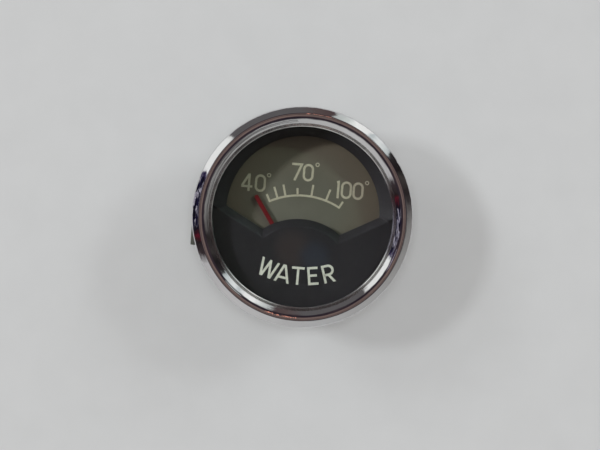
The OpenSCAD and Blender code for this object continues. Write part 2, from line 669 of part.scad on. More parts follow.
// Push-in lamp socket: a tube with a stop flange, two spring claws and bayonet slots
module lamp_socket() color("lightgray") at_lamp() difference() {
    union() {
        tube(tube_r + tube_t, tube_r, socket_back, socket_front);
        tube(lamp_hole_r + 1.4, tube_r, -case_depth - flange_t, -case_depth);
        intersection() {
            tube(claw_out, claw_out - 0.4, -case_depth, socket_front - 0.6);
            box([-2, -claw_out, -case_depth], [2, claw_out, socket_front]);
        }
        intersection() {
            tube(claw_out, tube_r, socket_front - 1.1, socket_front - 0.6);
            box([-2, -claw_out, -case_depth], [2, claw_out, socket_front]);
        }
    }
    for (side = [0, 180]) rotate([0, 0, side]) {
        box([tube_r / 2, -bulb_pin_r - 0.1, bayonet_z - 1.1], [tube_r + 1, bayonet_w, bayonet_z + 1.1]);
        box([tube_r / 2, bayonet_w - 2 * bulb_pin_r - 0.3, bayonet_z], [tube_r + 1, bayonet_w, socket_front + cut]);
    }
}
bayonet_w = (tube_r + tube_t) * sin(bayonet_turn) + bulb_pin_r + 0.2;
module lamp_insulator() color("saddlebrown") at_lamp() difference() {
    union() {
        disc(tube_r, socket_back, socket_back + 1.6);
        disc(tube_r + tube_t, socket_back - 0.6, socket_back);
    }
    disc(contact_r, socket_back - 2, socket_back + 3);
}
contact_r = 1.1;
blade_w = 6.3;
module lamp_contact() color("goldenrod") at_lamp() {
    disc(contact_r, socket_back - 0.6, socket_back + 1.6);
    disc(2.2, socket_back + 1.6, cap_back - 1.2);
    box([-blade_w / 2, -1.2, socket_back - 1.4], [blade_w / 2, 2, socket_back - 0.6]);
    box([-blade_w / 2, -0.4, stud_end], [blade_w / 2, 0.4, socket_back - 0.6]);
}
// Bayonet bulb: cap with two pins, solder tip, glass and filament
module bulb_cap() color("khaki") at_lamp() {
    tube(cap_r, cap_r - 0.4, cap_back, cap_front);
    disc(cap_r - 0.4, cap_back, cap_back + 0.8);
    for (side = [-1, 1]) translate([side * (cap_r - 0.2), 0, bayonet_z]) rotate([0, side * 90, 0])
        cylinder(r = bulb_pin_r, h = tube_t + 0.5);
}
module bulb_tip() color("silver") at_lamp() translate([0, 0, cap_back - 1.2]) cylinder(r1 = 1.2, r2 = 2, h = 1.2);
bulb_r = cap_r - 0.6;
bulb_reach = 9;
bulb_front = cap_front + bulb_reach;
module bulb_glass() color("azure", 0.4) at_lamp() rotate_extrude() polygon(concat(
    [[bulb_r - 0.5, cap_back + 3], [bulb_r, cap_back + 3]],
    arc([0, bulb_front - bulb_r], bulb_r, 0, 90, 10), arc([0, bulb_front - bulb_r], bulb_r - 0.5, 90, 0, 10)));
// Glass stem, two posts and the coiled wire across them
stem_z = cap_front + 1;
coil_z = stem_z + 4;
coil_l = 2.4;
module bulb_filament() color("lightgray") at_lamp() {
    disc(1.6, cap_back + 0.8, stem_z);
    for (side = [-1, 1]) translate([side * (coil_l / 2 - 0.2), 0, 0]) disc(0.2, stem_z, coil_z);
    translate([-coil_l / 2, 0, coil_z]) rotate([0, 90, 0]) cylinder(r = 0.25, h = coil_l);
}

bezel();
lip_ring();
glass();
glass_seal();
case();
mask();
dial_plate();
dial_screws();
dial_pillars();
needle_stops();
needle();
needle_hub();
spindle();
crank();
spindle_bushes();
bearing_bridge();
bridge_screws();
movement_plate();
bimetal_arm();
arm_insulation();
heater_winding();
drive_fork();
compensating_leg();
zero_sector();
sector_rivet();
winding_leads();
terminal_strips();
terminal_studs();
inner_insulators();
outer_insulators();
terminal_washers();
terminal_nuts();
clamp_studs();
frame_nuts();
case_nuts();
clamp_bracket();
spring_washers();
clamp_nut_left();
clamp_nut_right();
lamp_socket();
lamp_insulator();
lamp_contact();
bulb_cap();
bulb_tip();
bulb_glass();
bulb_filament();
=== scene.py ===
"""Water temperature gauge: the visual model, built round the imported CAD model."""

import math

import bpy
from mathutils import Matrix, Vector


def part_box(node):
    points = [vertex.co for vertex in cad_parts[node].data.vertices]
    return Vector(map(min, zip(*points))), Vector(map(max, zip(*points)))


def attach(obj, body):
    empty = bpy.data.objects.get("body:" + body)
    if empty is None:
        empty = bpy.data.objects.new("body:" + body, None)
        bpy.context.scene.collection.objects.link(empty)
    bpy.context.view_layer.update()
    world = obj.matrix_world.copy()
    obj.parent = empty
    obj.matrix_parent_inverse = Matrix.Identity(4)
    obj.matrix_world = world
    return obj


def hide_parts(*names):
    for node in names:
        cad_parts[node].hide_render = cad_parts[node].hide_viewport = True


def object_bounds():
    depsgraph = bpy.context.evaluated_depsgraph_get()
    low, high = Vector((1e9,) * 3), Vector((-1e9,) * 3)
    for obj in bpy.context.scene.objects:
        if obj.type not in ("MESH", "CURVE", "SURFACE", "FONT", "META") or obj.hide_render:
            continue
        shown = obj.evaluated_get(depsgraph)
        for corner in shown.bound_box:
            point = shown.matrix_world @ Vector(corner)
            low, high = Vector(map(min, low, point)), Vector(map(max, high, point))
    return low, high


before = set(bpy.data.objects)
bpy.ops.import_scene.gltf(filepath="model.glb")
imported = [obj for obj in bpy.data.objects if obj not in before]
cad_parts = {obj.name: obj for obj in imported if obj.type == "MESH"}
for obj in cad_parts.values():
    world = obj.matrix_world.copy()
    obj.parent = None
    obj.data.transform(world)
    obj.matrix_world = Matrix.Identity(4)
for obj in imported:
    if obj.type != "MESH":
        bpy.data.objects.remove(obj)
cad_low, cad_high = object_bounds()

# CASE. Drawn steel can, zinc plated, with a flange behind the bezel, a bead that the dial
# rests on and a pierced back. The plating is dull, with cloudy patches and draw marks.
MM = 0.001


def linear(code):
    """The linear colour of an sRGB hex value."""
    parts = [int(code[i:i + 2], 16) / 255 for i in (0, 2, 4)]
    return [c / 12.92 if c < 0.04045 else ((c + 0.055) / 1.055) ** 2.4 for c in parts] + [1]


def add(tree, kind, inputs, out=0, **settings):
    """Adds a shader node and returns one of its outputs, by number or name, if it has any.
    Settings are its own properties, inputs the values or links of its sockets. A Mix of
    colours takes them at inputs 6 and 7 and gives the result at output 2."""
    made = tree.nodes.new("ShaderNode" + kind)
    for name, value in settings.items():
        setattr(made, name, value)
    for socket, value in inputs.items():
        if isinstance(value, bpy.types.NodeSocket):
            tree.links.new(value, made.inputs[socket])
        else:
            made.inputs[socket].default_value = value
    return made.outputs[out] if made.outputs else None


def bare_material(name):
    """A new material without nodes, and its node tree."""
    material = bpy.data.materials.new(name)
    material.use_nodes = True
    material.node_tree.nodes.clear()
    return material, material.node_tree


def metal(name, dark, light, patch, mark, along, roughness, depth, bare=1.0):
    """Plated or bare metal: cloudy patches of patch mm between two colours, and marks of
    mark mm, drawn out along each axis by the factors in along, that change gloss and height.
    Where bare is under 1, a thin dull layer hides that much of the metal."""
    material, tree = bare_material(name)
    place = add(tree, "TexCoord", {}, "Object")
    cloud = add(tree, "TexNoise", {"Vector": place, "Scale": 1 / (patch * MM), "Detail": 5})
    drawn = add(tree, "Mapping", {"Vector": place, "Scale": [1 / f for f in along]})
    marks = add(tree, "TexNoise", {"Vector": drawn, "Scale": 1 / (mark * MM), "Detail": 3})
    share = add(tree, "MapRange", {"Value": cloud, "From Min": 0.35, "From Max": 0.65})
    colour = add(tree, "Mix", {0: share, 6: linear(dark), 7: linear(light)}, 2, data_type="RGBA")
    rough = add(tree, "MapRange", {"Value": marks, "From Min": 0.3, "From Max": 0.7,
                                   "To Min": roughness * 0.75, "To Max": roughness * 1.25})
    bump = add(tree, "Bump", {"Height": marks, "Strength": 0.5, "Distance": depth * MM})
    shader = add(tree, "BsdfPrincipled", {"Base Color": colour, "Metallic": bare,
                                          "Roughness": rough, "Normal": bump})
    add(tree, "OutputMaterial", {"Surface": shader})
    return material


def dress(material, *nodes):
    """Gives CAD nodes that keep their shape their real finish."""
    for node in nodes:
        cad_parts[node].data.materials[0] = material


zinc = metal("zinc_plated_steel", "a9abaa", "b4b6b4", 5, 0.5, (5, 5, 0.5), 0.32, 0.008)
dress(zinc, "case")

# MOVEMENT PLATE AND STUDS. A pressed, zinc plated plate sits on two shouldered steel studs
# with a rolled M4 thread. Thin nuts hold the studs in the case, taller ones the plate.
STUD_X = 15.5
STUD_Y = -3.4
STUD_R = 2.0
PITCH = 0.7
ROOT_R = 1.6
SHOULDER_R = 3.5
NUT_AF = 7
NUT_H = 3.2
THIN_NUT_H = 2.4
NUT_BORE = 2.05
CHAMFER = 0.25
STUD_BACK = cad_low.z / MM
STUD_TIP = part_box("clamp_studs")[1].z / MM
CASE_BACK = -32
SHOULDER_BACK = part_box("case")[0].z / MM + 0.6
PLATE_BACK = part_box("movement_plate")[0].z / MM
PLATE_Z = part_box("movement_plate")[1].z / MM


def only(piece):
    """Makes piece the one selected and active object."""
    bpy.ops.object.select_all(action="DESELECT")
    piece.select_set(True)
    bpy.context.view_layer.objects.active = piece


def linked(name, data):
    """A new object that holds data, put in the scene, selected and active."""
    made = bpy.data.objects.new(name, data)
    bpy.context.scene.collection.objects.link(made)
    only(made)
    return made


def fit(piece, body, slot, material, *nodes):
    """Gives a piece its material and body, and lets it stand for CAD nodes. Slot is not used."""
    piece.data.materials.clear()
    piece.data.materials.append(material)
    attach(piece, body)
    if nodes:
        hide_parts(*nodes)


def eased(node, name, width, body, slot, material, angle=30):
    """A copy of a CAD node that stands for it: merged, and with every edge sharper than
    angle rounded by width mm."""
    piece = linked(name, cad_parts[node].data.copy())
    bpy.ops.mesh.customdata_custom_splitnormals_clear()
    bpy.ops.object.mode_set(mode="EDIT")
    bpy.ops.mesh.select_all(action="SELECT")
    bpy.ops.mesh.remove_doubles(threshold=0.0005 * MM)
    bpy.ops.mesh.dissolve_limited(angle_limit=math.radians(0.3))
    bpy.ops.object.mode_set(mode="OBJECT")
    bevel = piece.modifiers.new("ease", "BEVEL")
    bevel.width = width * MM
    bevel.segments = 3
    bevel.limit_method = "ANGLE"
    bevel.angle_limit = math.radians(angle)
    bevel.use_clamp_overlap = False
    bpy.ops.object.modifier_apply(modifier="ease")
    bpy.ops.object.shade_smooth_by_angle(angle=math.radians(35))
    fit(piece, body, slot, material, node)


def turned(name, profile, segments):
    """A turned ring: a circle at the profile's first point is extruded from point to point,
    and back to the first one. The profile's points are (radius, height) in mm."""
    bpy.ops.object.select_all(action="DESELECT")
    radius, height = profile[0]
    bpy.ops.mesh.primitive_circle_add(vertices=segments, radius=radius * MM,
                                      location=(0, 0, height * MM))
    piece = bpy.context.object
    piece.name = name
    bpy.ops.object.transform_apply(location=True, rotation=True, scale=True)
    bpy.ops.object.mode_set(mode="EDIT")
    bpy.ops.mesh.select_all(action="SELECT")
    for (r0, z0), (r1, z1) in zip(profile, profile[1:] + profile[:1]):
        bpy.ops.mesh.extrude_edges_move(TRANSFORM_OT_translate={"value": (0, 0, (z1 - z0) * MM)})
        bpy.ops.transform.resize(value=(r1 / r0, r1 / r0, 1))
    bpy.ops.mesh.select_all(action="SELECT")
    bpy.ops.mesh.remove_doubles(threshold=0.001 * MM)
    bpy.ops.mesh.normals_make_consistent(inside=False)
    bpy.ops.object.mode_set(mode="OBJECT")
    bpy.ops.object.shade_smooth_by_angle(angle=math.radians(35))
    return piece


def alike(edge, height):
    """A profile height mm tall whose upper end is the same as its lower one, edge."""
    return edge + [(r, height - z) for r, z in reversed(edge)]


def cut_off(place, outward):
    """In edit mode, cuts off what lies outward of a plane through place, in mm."""
    bpy.ops.mesh.select_all(action="SELECT")
    bpy.ops.mesh.bisect(plane_co=[c * MM for c in place], plane_no=outward, clear_outer=True,
                        threshold=0.001 * MM)


def thread(low, high):
    """An M4 thread on the z axis: one tooth's outline is wound by a Screw modifier, cut flat
    at low and high, and chamfered at low."""
    outline = [(ROOT_R, 0), (ROOT_R, 0.1), (STUD_R, 0.31), (STUD_R, 0.39), (ROOT_R, 0.6),
               (ROOT_R, PITCH)]
    mesh = bpy.data.meshes.new("thread")
    mesh.from_pydata([(r * MM, 0, (low - 1.5 * PITCH + z) * MM) for r, z in outline],
                     [(i, i + 1) for i in range(len(outline) - 1)], [])
    piece = linked("thread", mesh)
    screw = piece.modifiers.new("wind", "SCREW")
    screw.screw_offset = PITCH * MM
    screw.iterations = math.ceil((high - low) / PITCH) + 3
    screw.steps = 24
    screw.render_steps = 24
    bpy.ops.object.modifier_apply(modifier="wind")
    bpy.ops.object.mode_set(mode="EDIT")
    bpy.ops.mesh.select_all(action="SELECT")
    bpy.ops.mesh.remove_doubles(threshold=0.002 * MM)
    cut_off((0, 0, low), (0, 0, -1))
    cut_off((0, 0, high), (0, 0, 1))
    bpy.ops.mesh.select_all(action="SELECT")
    bpy.ops.mesh.fill_holes(sides=0)
    bpy.ops.mesh.normals_make_consistent(inside=False)
    bpy.ops.object.mode_set(mode="OBJECT")
    for vertex in piece.data.vertices:
        most = (ROOT_R - 0.15 - low) * MM + vertex.co.z
        reach = math.hypot(vertex.co.x, vertex.co.y)
        if reach > most:
            vertex.co.x *= most / reach
            vertex.co.y *= most / reach
    bpy.ops.object.shade_smooth_by_angle(angle=math.radians(35))
    return piece


def together(name, pieces):
    """Joins pieces into one object."""
    only(pieces[0])
    if len(pieces) > 1:
        for piece in pieces:
            piece.select_set(True)
        bpy.ops.object.join()
    pieces[0].name = name
    return pieces[0]


def shift(mesh, *place):
    """Moves a mesh by a place in mm."""
    mesh.transform(Matrix.Translation([c * MM for c in place]))


def placed(name, pattern, places):
    """Copies of a piece that was modelled on the axis, each put at its place in mm."""
    copies = []
    for place in places:
        mesh = pattern.data.copy()
        shift(mesh, *place)
        copies.append(linked(name, mesh))
    bpy.data.objects.remove(pattern)
    return together(name, copies)


def pair(x, y, *levels):
    """The places at x, y and its mirror place, at each level."""
    return [(side * x, y, z) for side in (-1, 1) for z in levels or (0,)]


def hex_nut(height, bore):
    """A nut that stands on z 0: a six-sided blank whose corners a turned shape chamfers."""
    corner = NUT_AF / 2 / math.cos(math.pi / 6)
    bpy.ops.object.select_all(action="DESELECT")
    bpy.ops.mesh.primitive_cylinder_add(vertices=6, radius=corner * MM, depth=height * MM,
                                        location=(0, 0, height / 2 * MM), rotation=(0, 0, math.pi / 6))
    piece = bpy.context.object
    bpy.ops.object.transform_apply(location=True, rotation=True, scale=True)
    land = NUT_AF / 2 - 0.1
    rim = corner + 0.1
    drop = (rim - land) * math.tan(math.pi / 6)
    cutter = turned("cutter", alike([(bore, CHAMFER), (bore + CHAMFER, 0), (land, 0), (rim, drop)],
                                    height), 48)
    only(piece)
    shape = piece.modifiers.new("chamfer", "BOOLEAN")
    shape.operation = "INTERSECT"
    shape.object = cutter
    bpy.ops.object.modifier_apply(modifier="chamfer")
    bpy.data.objects.remove(cutter)
    bpy.ops.object.shade_smooth_by_angle(angle=math.radians(25))
    return piece


shoulder = turned("shoulder", [(1, SHOULDER_BACK), (SHOULDER_R - 0.2, SHOULDER_BACK),
                               (SHOULDER_R, SHOULDER_BACK + 0.2), (SHOULDER_R, PLATE_BACK - 0.2),
                               (SHOULDER_R - 0.2, PLATE_BACK), (1, PLATE_BACK)], 48)
front_thread = thread(PLATE_BACK - 0.5, STUD_TIP)
stud = together("stud", [thread(STUD_BACK, SHOULDER_BACK + 0.5), shoulder, front_thread])
studs = placed("clamp_studs_threaded", stud, pair(STUD_X, STUD_Y))
fit(studs, "gauge", "plated_steel", zinc, "clamp_studs")
for node, height, back in (("frame_nuts", NUT_H, PLATE_Z),
                           ("case_nuts", THIN_NUT_H, CASE_BACK - THIN_NUT_H)):
    nuts = placed(node + "_chamfered", hex_nut(height, NUT_BORE), pair(STUD_X, STUD_Y, back))
    fit(nuts, "gauge", "plated_steel", zinc, node)
eased("movement_plate", "movement_plate_pressed", 0.15, "gauge", "plated_steel", zinc)

# SPINDLE. A ground steel spindle carries a crank with a pin. It turns in two turned brass
# bushes: one is pressed into the plate, one into a folded bridge that two screws hold.
bright = metal("ground_bright_steel", "a9abae", "c9cbce", 3, 0.12, (1, 1, 6), 0.22, 0.003)
brass = metal("turned_brass", "b2924f", "c2a35e", 5, 0.18, (5, 5, 1), 0.28, 0.004)
dress(bright, "spindle", "crank", "bridge_screws")
dress(brass, "spindle_bushes")
eased("bearing_bridge", "bearing_bridge_folded", 0.12, "gauge", "plated_steel", zinc)

# BIMETAL. Two legs of one bimetal strip, rolled from a nickel steel and a browner alloy: the
# heated arm moves the crank by a steel fork, the other leg cancels the air's temperature. It
# is riveted to a toothed sector, which the factory turns to set the zero.
bimetal = metal("rolled_bimetal", "8a7a68", "b3a48e", 2.5, 0.1, (12, 1, 1), 0.3, 0.003)
dress(bimetal, "bimetal_arm", "compensating_leg")
dress(bright, "drive_fork")
dress(brass, "sector_rivet")
eased("zero_sector", "zero_sector_toothed", 0.05, "gauge", "plated_steel", zinc)

# SLEEVE AND WINDING. A woven glass-fibre sleeve covers the arm, and bare resistance wire is
# wound over it by hand in one close layer of 24 turns. Threads of the weave are 0.35 mm.
THREAD_W = 0.35
woven_sleeve, tree = bare_material("woven_glass_fibre")
place = add(tree, "TexCoord", {}, "Object")
warp, weft = (add(tree, "TexWave", {"Vector": place, "Scale": 0.314 / (THREAD_W * MM)}, bands_direction=axis)
              for axis in "XZ")
weave = add(tree, "Math", {0: warp, 1: weft}, operation="MULTIPLY")
colour = add(tree, "Mix", {0: weave, 6: linear("a89c84"), 7: linear("ddd3bc")}, 2, data_type="RGBA")
bump = add(tree, "Bump", {"Height": weave, "Strength": 0.6, "Distance": 0.06 * MM})
shader = add(tree, "BsdfPrincipled", {"Base Color": colour, "Roughness": 0.85, "Normal": bump})
add(tree, "OutputMaterial", {"Surface": shader})
eased("arm_insulation", "arm_sleeve_woven", 0.1, "bimetal", "woven_sleeve", woven_sleeve)


def wire(name, points, radius):
    """A round wire through points in mm, made a mesh."""
    curve = bpy.data.curves.new(name, "CURVE")
    curve.dimensions = "3D"
    curve.bevel_depth = radius * MM
    curve.bevel_resolution = 2
    curve.use_fill_caps = True
    spline = curve.splines.new("POLY")
    spline.points.add(len(points) - 1)
    for point, place in zip(spline.points, points):
        point.co = [c * MM for c in place] + [1]
    linked(name, curve)
    bpy.ops.object.convert(target="MESH")
    bpy.ops.object.shade_smooth_by_angle(angle=math.radians(40))
    return bpy.context.object


# The wire goes round eight points a turn, which cut the sleeve's corners
HINGE = (-15.0, -14.3)
ARM_REST = math.radians(5.39)
SLEEVE_HALF = 0.4
TURNS = 24
WIRE_R = 0.12
WOUND_FROM = 2.15
WOUND_L = 6.7
winding_low, winding_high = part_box("heater_winding")
half_y = SLEEVE_HALF + WIRE_R
half_z = (winding_high.z - winding_low.z) / 2 / MM - WIRE_R
middle_z = (winding_high.z + winding_low.z) / 2 / MM
corners = [(-half_y, 0.25 - half_z), (-half_y, half_z - 0.25), (0.2 - half_y, half_z), (half_y - 0.2, half_z)]
corners += [(-across, -rise) for across, rise in corners]
wire_path = []
for i in range(TURNS * 8 + 1):
    along = WOUND_FROM + WOUND_L * i / (TURNS * 8)
    across, rise = corners[i % 8]
    wire_path.append((HINGE[0] + along * math.cos(ARM_REST) + across * math.sin(ARM_REST),
                      HINGE[1] - along * math.sin(ARM_REST) + across * math.cos(ARM_REST), middle_z + rise))
resistance = metal("drawn_resistance_wire", "6f6a62", "98928a", 1.2, 0.08, (1, 1, 1), 0.35, 0.002)
winding = wire("heater_winding_wound", wire_path, WIRE_R)
fit(winding, "bimetal", "resistance_wire", resistance, "heater_winding")

# TERMINALS. Headed brass studs pass through stepped bushes of brown paper laminate, with a
# washer and a nut to clamp them and another pair for the wire. Inside, brass strips and two
# lacquered leads go on to the winding.
TERMINAL_X = 10.988
TERMINAL_Y = -15.988
TERMINAL_BORE = 1.82
WASHER_R = 4.3
WASHER_T = 0.8
NUT_BACKS = (-37.5, -41.5)
HEAD_BACK = -29.3
HEAD_H = 1.8


def coated(name, dark, light, patch, grain, roughness, depth, coat):
    """Lacquer or laminate: cloudy patches of patch mm, and a grain that changes height."""
    material, tree = bare_material(name)
    place = add(tree, "TexCoord", {}, "Object")
    cloud = add(tree, "TexNoise", {"Vector": place, "Scale": 1 / (patch * MM), "Detail": 3})
    fine = add(tree, "TexNoise", {"Vector": place, "Scale": 1 / (grain * MM), "Detail": 3})
    share = add(tree, "MapRange", {"Value": cloud, "From Min": 0.35, "From Max": 0.65})
    colour = add(tree, "Mix", {0: share, 6: linear(dark), 7: linear(light)}, 2, data_type="RGBA")
    bump = add(tree, "Bump", {"Height": fine, "Strength": 0.4, "Distance": depth * MM})
    shader = add(tree, "BsdfPrincipled", {"Base Color": colour, "Roughness": roughness,
                                          "Coat Weight": coat, "Normal": bump})
    add(tree, "OutputMaterial", {"Surface": shader})
    return material


laminate = coated("brown_paper_laminate", "4b2a17", "6e4226", 3, 0.15, 0.42, 0.01, 0.2)
lacquer = coated("red_wire_lacquer", "7a1712", "94251b", 1, 0.2, 0.3, 0.005, 0.5)
eased("inner_insulators", "inner_insulators_turned", 0.15, "gauge", "phenolic", laminate)
eased("outer_insulators", "outer_insulators_turned", 0.2, "gauge", "phenolic", laminate)
eased("terminal_strips", "terminal_strips_folded", 0.06, "gauge", "brass", brass)
dress(lacquer, "winding_leads")
head = hex_nut(HEAD_H, 1.0)
shift(head.data, 0, 0, HEAD_BACK)
terminal = together("terminal", [thread(STUD_BACK, HEAD_BACK + 0.5), head])
terminals = placed("terminal_studs_threaded", terminal, pair(TERMINAL_X, TERMINAL_Y))
fit(terminals, "gauge", "brass", brass, "terminal_studs")
terminal_nuts = placed("terminal_nuts_chamfered", hex_nut(NUT_H, TERMINAL_BORE),
                       pair(TERMINAL_X, TERMINAL_Y, *NUT_BACKS))
fit(terminal_nuts, "gauge", "brass", brass, "terminal_nuts")
washer = turned("washer", alike([(NUT_BORE, 0.1), (NUT_BORE + 0.1, 0), (WASHER_R - 0.15, 0),
                                 (WASHER_R, 0.15)], WASHER_T), 64)
washers = placed("terminal_washers_stamped", washer,
                 pair(TERMINAL_X, TERMINAL_Y, *(back + NUT_H for back in NUT_BACKS)))
fit(washers, "gauge", "brass", brass, "terminal_washers")

# DIAL PLATE. Brass sheet sprayed with matt olive grey paint, faded in soft patches of 14 mm.
# Towards its edge the paint turns browner: painted shade, for the warm shade under the rim.
# The scale and the numbers are printed in cream ink.
dial_paint, tree = bare_material("matt_dial_paint")
place = add(tree, "TexCoord", {}, "Object")
fade = add(tree, "TexNoise", {"Vector": place, "Scale": 1 / (14 * MM), "Detail": 2})
spray = add(tree, "TexNoise", {"Vector": place, "Scale": 1 / (0.2 * MM), "Detail": 3})
faded = add(tree, "MapRange", {"Value": fade, "From Min": 0.35, "From Max": 0.65})
# Painted shade: from 9 to 19 mm out from the middle the paint browns, where the rim's warm shade falls
outward = add(tree, "VectorMath", {0: place, 1: (0, 2 * MM, 0)}, "Value", operation="DISTANCE")
rim_shade = add(tree, "MapRange", {"Value": outward, "From Min": 9 * MM, "From Max": 19 * MM})
colour = add(tree, "Mix", {0: faded, 6: linear("625d55"), 7: linear("6b665e")}, 2, data_type="RGBA")
faded_and_rim_shaded = add(tree, "Mix", {0: rim_shade, 6: colour, 7: linear("655a50")}, 2, data_type="RGBA")
bump = add(tree, "Bump", {"Height": spray, "Strength": 0.3, "Distance": 0.01 * MM})
shader = add(tree, "BsdfPrincipled", {"Base Color": faded_and_rim_shaded, "Roughness": 0.6, "Normal": bump})
add(tree, "OutputMaterial", {"Surface": shader})
dress(dial_paint, "dial_plate")

DIAL_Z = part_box("dial_plate")[1].z / MM
PIVOT = (0, -14.3)
SCALE_R = 20.2
SCALE_W = 0.56
DIGIT_H = 4.8
DIGIT_W = 3.0
DIGIT_INK = 0.62
DEGREE_R = 0.45
DEGREE_INK = 0.28
INK = 0.02


def arc(centre, radius, start, end, steps):
    """Points on an arc, from one angle to another, in degrees from the x axis."""
    turns = [math.radians(start + (end - start) * i / steps) for i in range(steps + 1)]
    return [(centre[0] + radius * math.cos(t), centre[1] + radius * math.sin(t)) for t in turns]


def stroke_edges(points, width, closed):
    """The two edges of a stroke drawn along points, with mitred corners and square ends."""
    left = []
    right = []
    for i, (x, y) in enumerate(points):
        before = points[i - 1] if i or closed else None
        after = points[(i + 1) % len(points)] if i < len(points) - 1 or closed else None
        coming = math.atan2(y - before[1], x - before[0]) if before else None
        going = math.atan2(after[1] - y, after[0] - x) if after else coming
        coming = going if coming is None else coming
        half = (going - coming + math.pi) % math.tau / 2 - math.pi / 2
        reach = width / 2 / max(math.cos(half), 0.2)
        turn = coming + half + math.pi / 2
        left.append((x + reach * math.cos(turn), y + reach * math.sin(turn)))
        right.append((x - reach * math.cos(turn), y - reach * math.sin(turn)))
    return left, right


def printed(name, strokes, width, z, cut_at=0):
    """One printed piece of ink: each stroke is laid as a ribbon at height z and raised. Where
    cut_at is given, what passes that distance above and below the x axis is cut off."""
    vertices = []
    faces = []
    for n, points in enumerate(strokes):
        closed = points[0] == points[-1]
        points = points[:-1] if closed else points
        count = len(points)
        start = len(vertices)
        low = z - 0.004 + 0.001 * (n % 4)
        for edge in stroke_edges(points, width, closed):
            vertices += [(x * MM, y * MM, low * MM) for x, y in edge]
        for i in range(count if closed else count - 1):
            j = (i + 1) % count
            faces.append((start + i, start + j, start + count + j, start + count + i))
    mesh = bpy.data.meshes.new(name)
    mesh.from_pydata(vertices, [], faces)
    piece = linked(name, mesh)
    bpy.ops.object.mode_set(mode="EDIT")
    for side in (-1, 1) if cut_at else ():
        cut_off((0, side * cut_at, 0), (0, side, 0))
    bpy.ops.mesh.select_all(action="SELECT")
    bpy.ops.mesh.extrude_region_move(TRANSFORM_OT_translate={"value": (0, 0, INK * MM)})
    bpy.ops.mesh.select_all(action="SELECT")
    bpy.ops.mesh.normals_make_consistent(inside=False)
    bpy.ops.object.mode_set(mode="OBJECT")
    return piece


def ink(name, code, wear):
    """Printing ink of one colour, a little thin in places of wear mm."""
    material, tree = bare_material(name)
    place = add(tree, "TexCoord", {}, "Object")
    thin = add(tree, "TexNoise", {"Vector": place, "Scale": 1 / (wear * MM), "Detail": 4})
    share = add(tree, "MapRange", {"Value": thin, "From Min": 0.3, "From Max": 0.7,
                                   "To Min": 0.86, "To Max": 1.06})
    colour = add(tree, "Mix", {0: 1.0, 6: linear(code), 7: share}, 2, data_type="RGBA", blend_type="MULTIPLY")
    shader = add(tree, "BsdfPrincipled", {"Base Color": colour, "Roughness": 0.55})
    add(tree, "OutputMaterial", {"Surface": shader})
    return material


def digit(figure, x, y):
    """The strokes of one narrow upright figure whose middle is at x, y."""
    top = DIGIT_H / 2
    edge = top - DIGIT_INK / 2
    half = (DIGIT_W - DIGIT_INK) / 2
    shapes = {
        "0": [arc((0, edge - half), half, 0, 180, 14) + arc((0, half - edge), half, 180, 360, 14)
              + [(half, edge - half)]],
        "1": [[(-0.45, edge - 0.15), (0, edge), (0, -top)]],
        "4": [[(0.55, top), (0.55, -top)], [(0.45, edge + 0.1), (-half - 0.1, -0.95)],
              [(-half - 0.35, -1.1), (half + 0.35, -1.1)]],
        "7": [[(-half - 0.3, edge), (half, edge), (-0.55, -top)]],
    }
    return [[(x + a, y + b) for a, b in points] for points in shapes[figure]]


# Angle of each tick from the upright through the pivot, and its outer end's radius
TICKS = [(-27.3, 22.3), (-20.8, 23.5), (-14.5, 23.5), (-5.1, 22.2), (5.6, 23.45), (17.4, 23.5),
         (28.95, 22.15)]
scale_strokes = [arc(PIVOT, SCALE_R, 90 - TICKS[0][0] + 0.7, 90 - TICKS[-1][0] - 0.7, 60)]
for lean, tip_r in TICKS:
    upright = math.radians(90 - lean)
    scale_strokes.append([(PIVOT[0] + r * math.cos(upright), PIVOT[1] + r * math.sin(upright))
                          for r in (SCALE_R, tip_r)])
FIGURES = [("4", -15.85, 8.35), ("0", -12.2, 8.35), ("7", -2.45, 12.25), ("0", 0.65, 12.25),
           ("1", 9.15, 8.3), ("0", 11.4, 8.3), ("0", 14.6, 8.3)]
figure_strokes = [points for figure in FIGURES for points in digit(*figure)]
# Each degree sign is a small closed circle
degree_strokes = []
for middle in ((-10.0, 10.7), (3.0, 14.6), (16.9, 10.7)):
    circle = arc(middle, DEGREE_R, 0, 345, 23)
    degree_strokes.append(circle + circle[:1])
dial_ink = ink("cream_dial_ink", "bdb2a1", 0.8)
for name, strokes, width in (("scale_print", scale_strokes, SCALE_W),
                             ("figure_print", figure_strokes, DIGIT_INK),
                             ("degree_print", degree_strokes, DEGREE_INK)):
    fit(printed(name, strokes, width, DIAL_Z), "gauge", "dial_paint", dial_ink)

# DIAL FIXINGS. Two cheese-head screws hold the dial on turned brass pillars that are riveted
# to the plate. Two steel pins, pressed into the dial, stop the needle.
dress(brass, "dial_pillars")
eased("dial_screws", "dial_screws_slotted", 0.12, "gauge", "bright_steel", bright)
eased("needle_stops", "needle_stops_pins", 0.1, "gauge", "bright_steel", bright)

# NEEDLE. Stamped from thin sheet, its edges eased, and sprayed a dark glossy red; it sits
# on a turned brass hub that is pressed on the spindle.
needle_paint, tree = bare_material("red_needle_paint")
place = add(tree, "TexCoord", {}, "Object")
flow = add(tree, "TexNoise", {"Vector": place, "Scale": 1 / (1.5 * MM), "Detail": 3})
colour = add(tree, "Mix", {0: flow, 6: linear("580b13"), 7: linear("76121b")}, 2, data_type="RGBA")
bump = add(tree, "Bump", {"Height": flow, "Strength": 0.2, "Distance": 0.02 * MM})
shader = add(tree, "BsdfPrincipled", {"Base Color": colour, "Roughness": 0.3, "Coat Weight": 0.2,
                                      "Coat Roughness": 0.15, "Normal": bump})
add(tree, "OutputMaterial", {"Surface": shader})
eased("needle", "needle_painted", 0.12, "pointer", "needle_red", needle_paint)
dress(brass, "needle_hub")

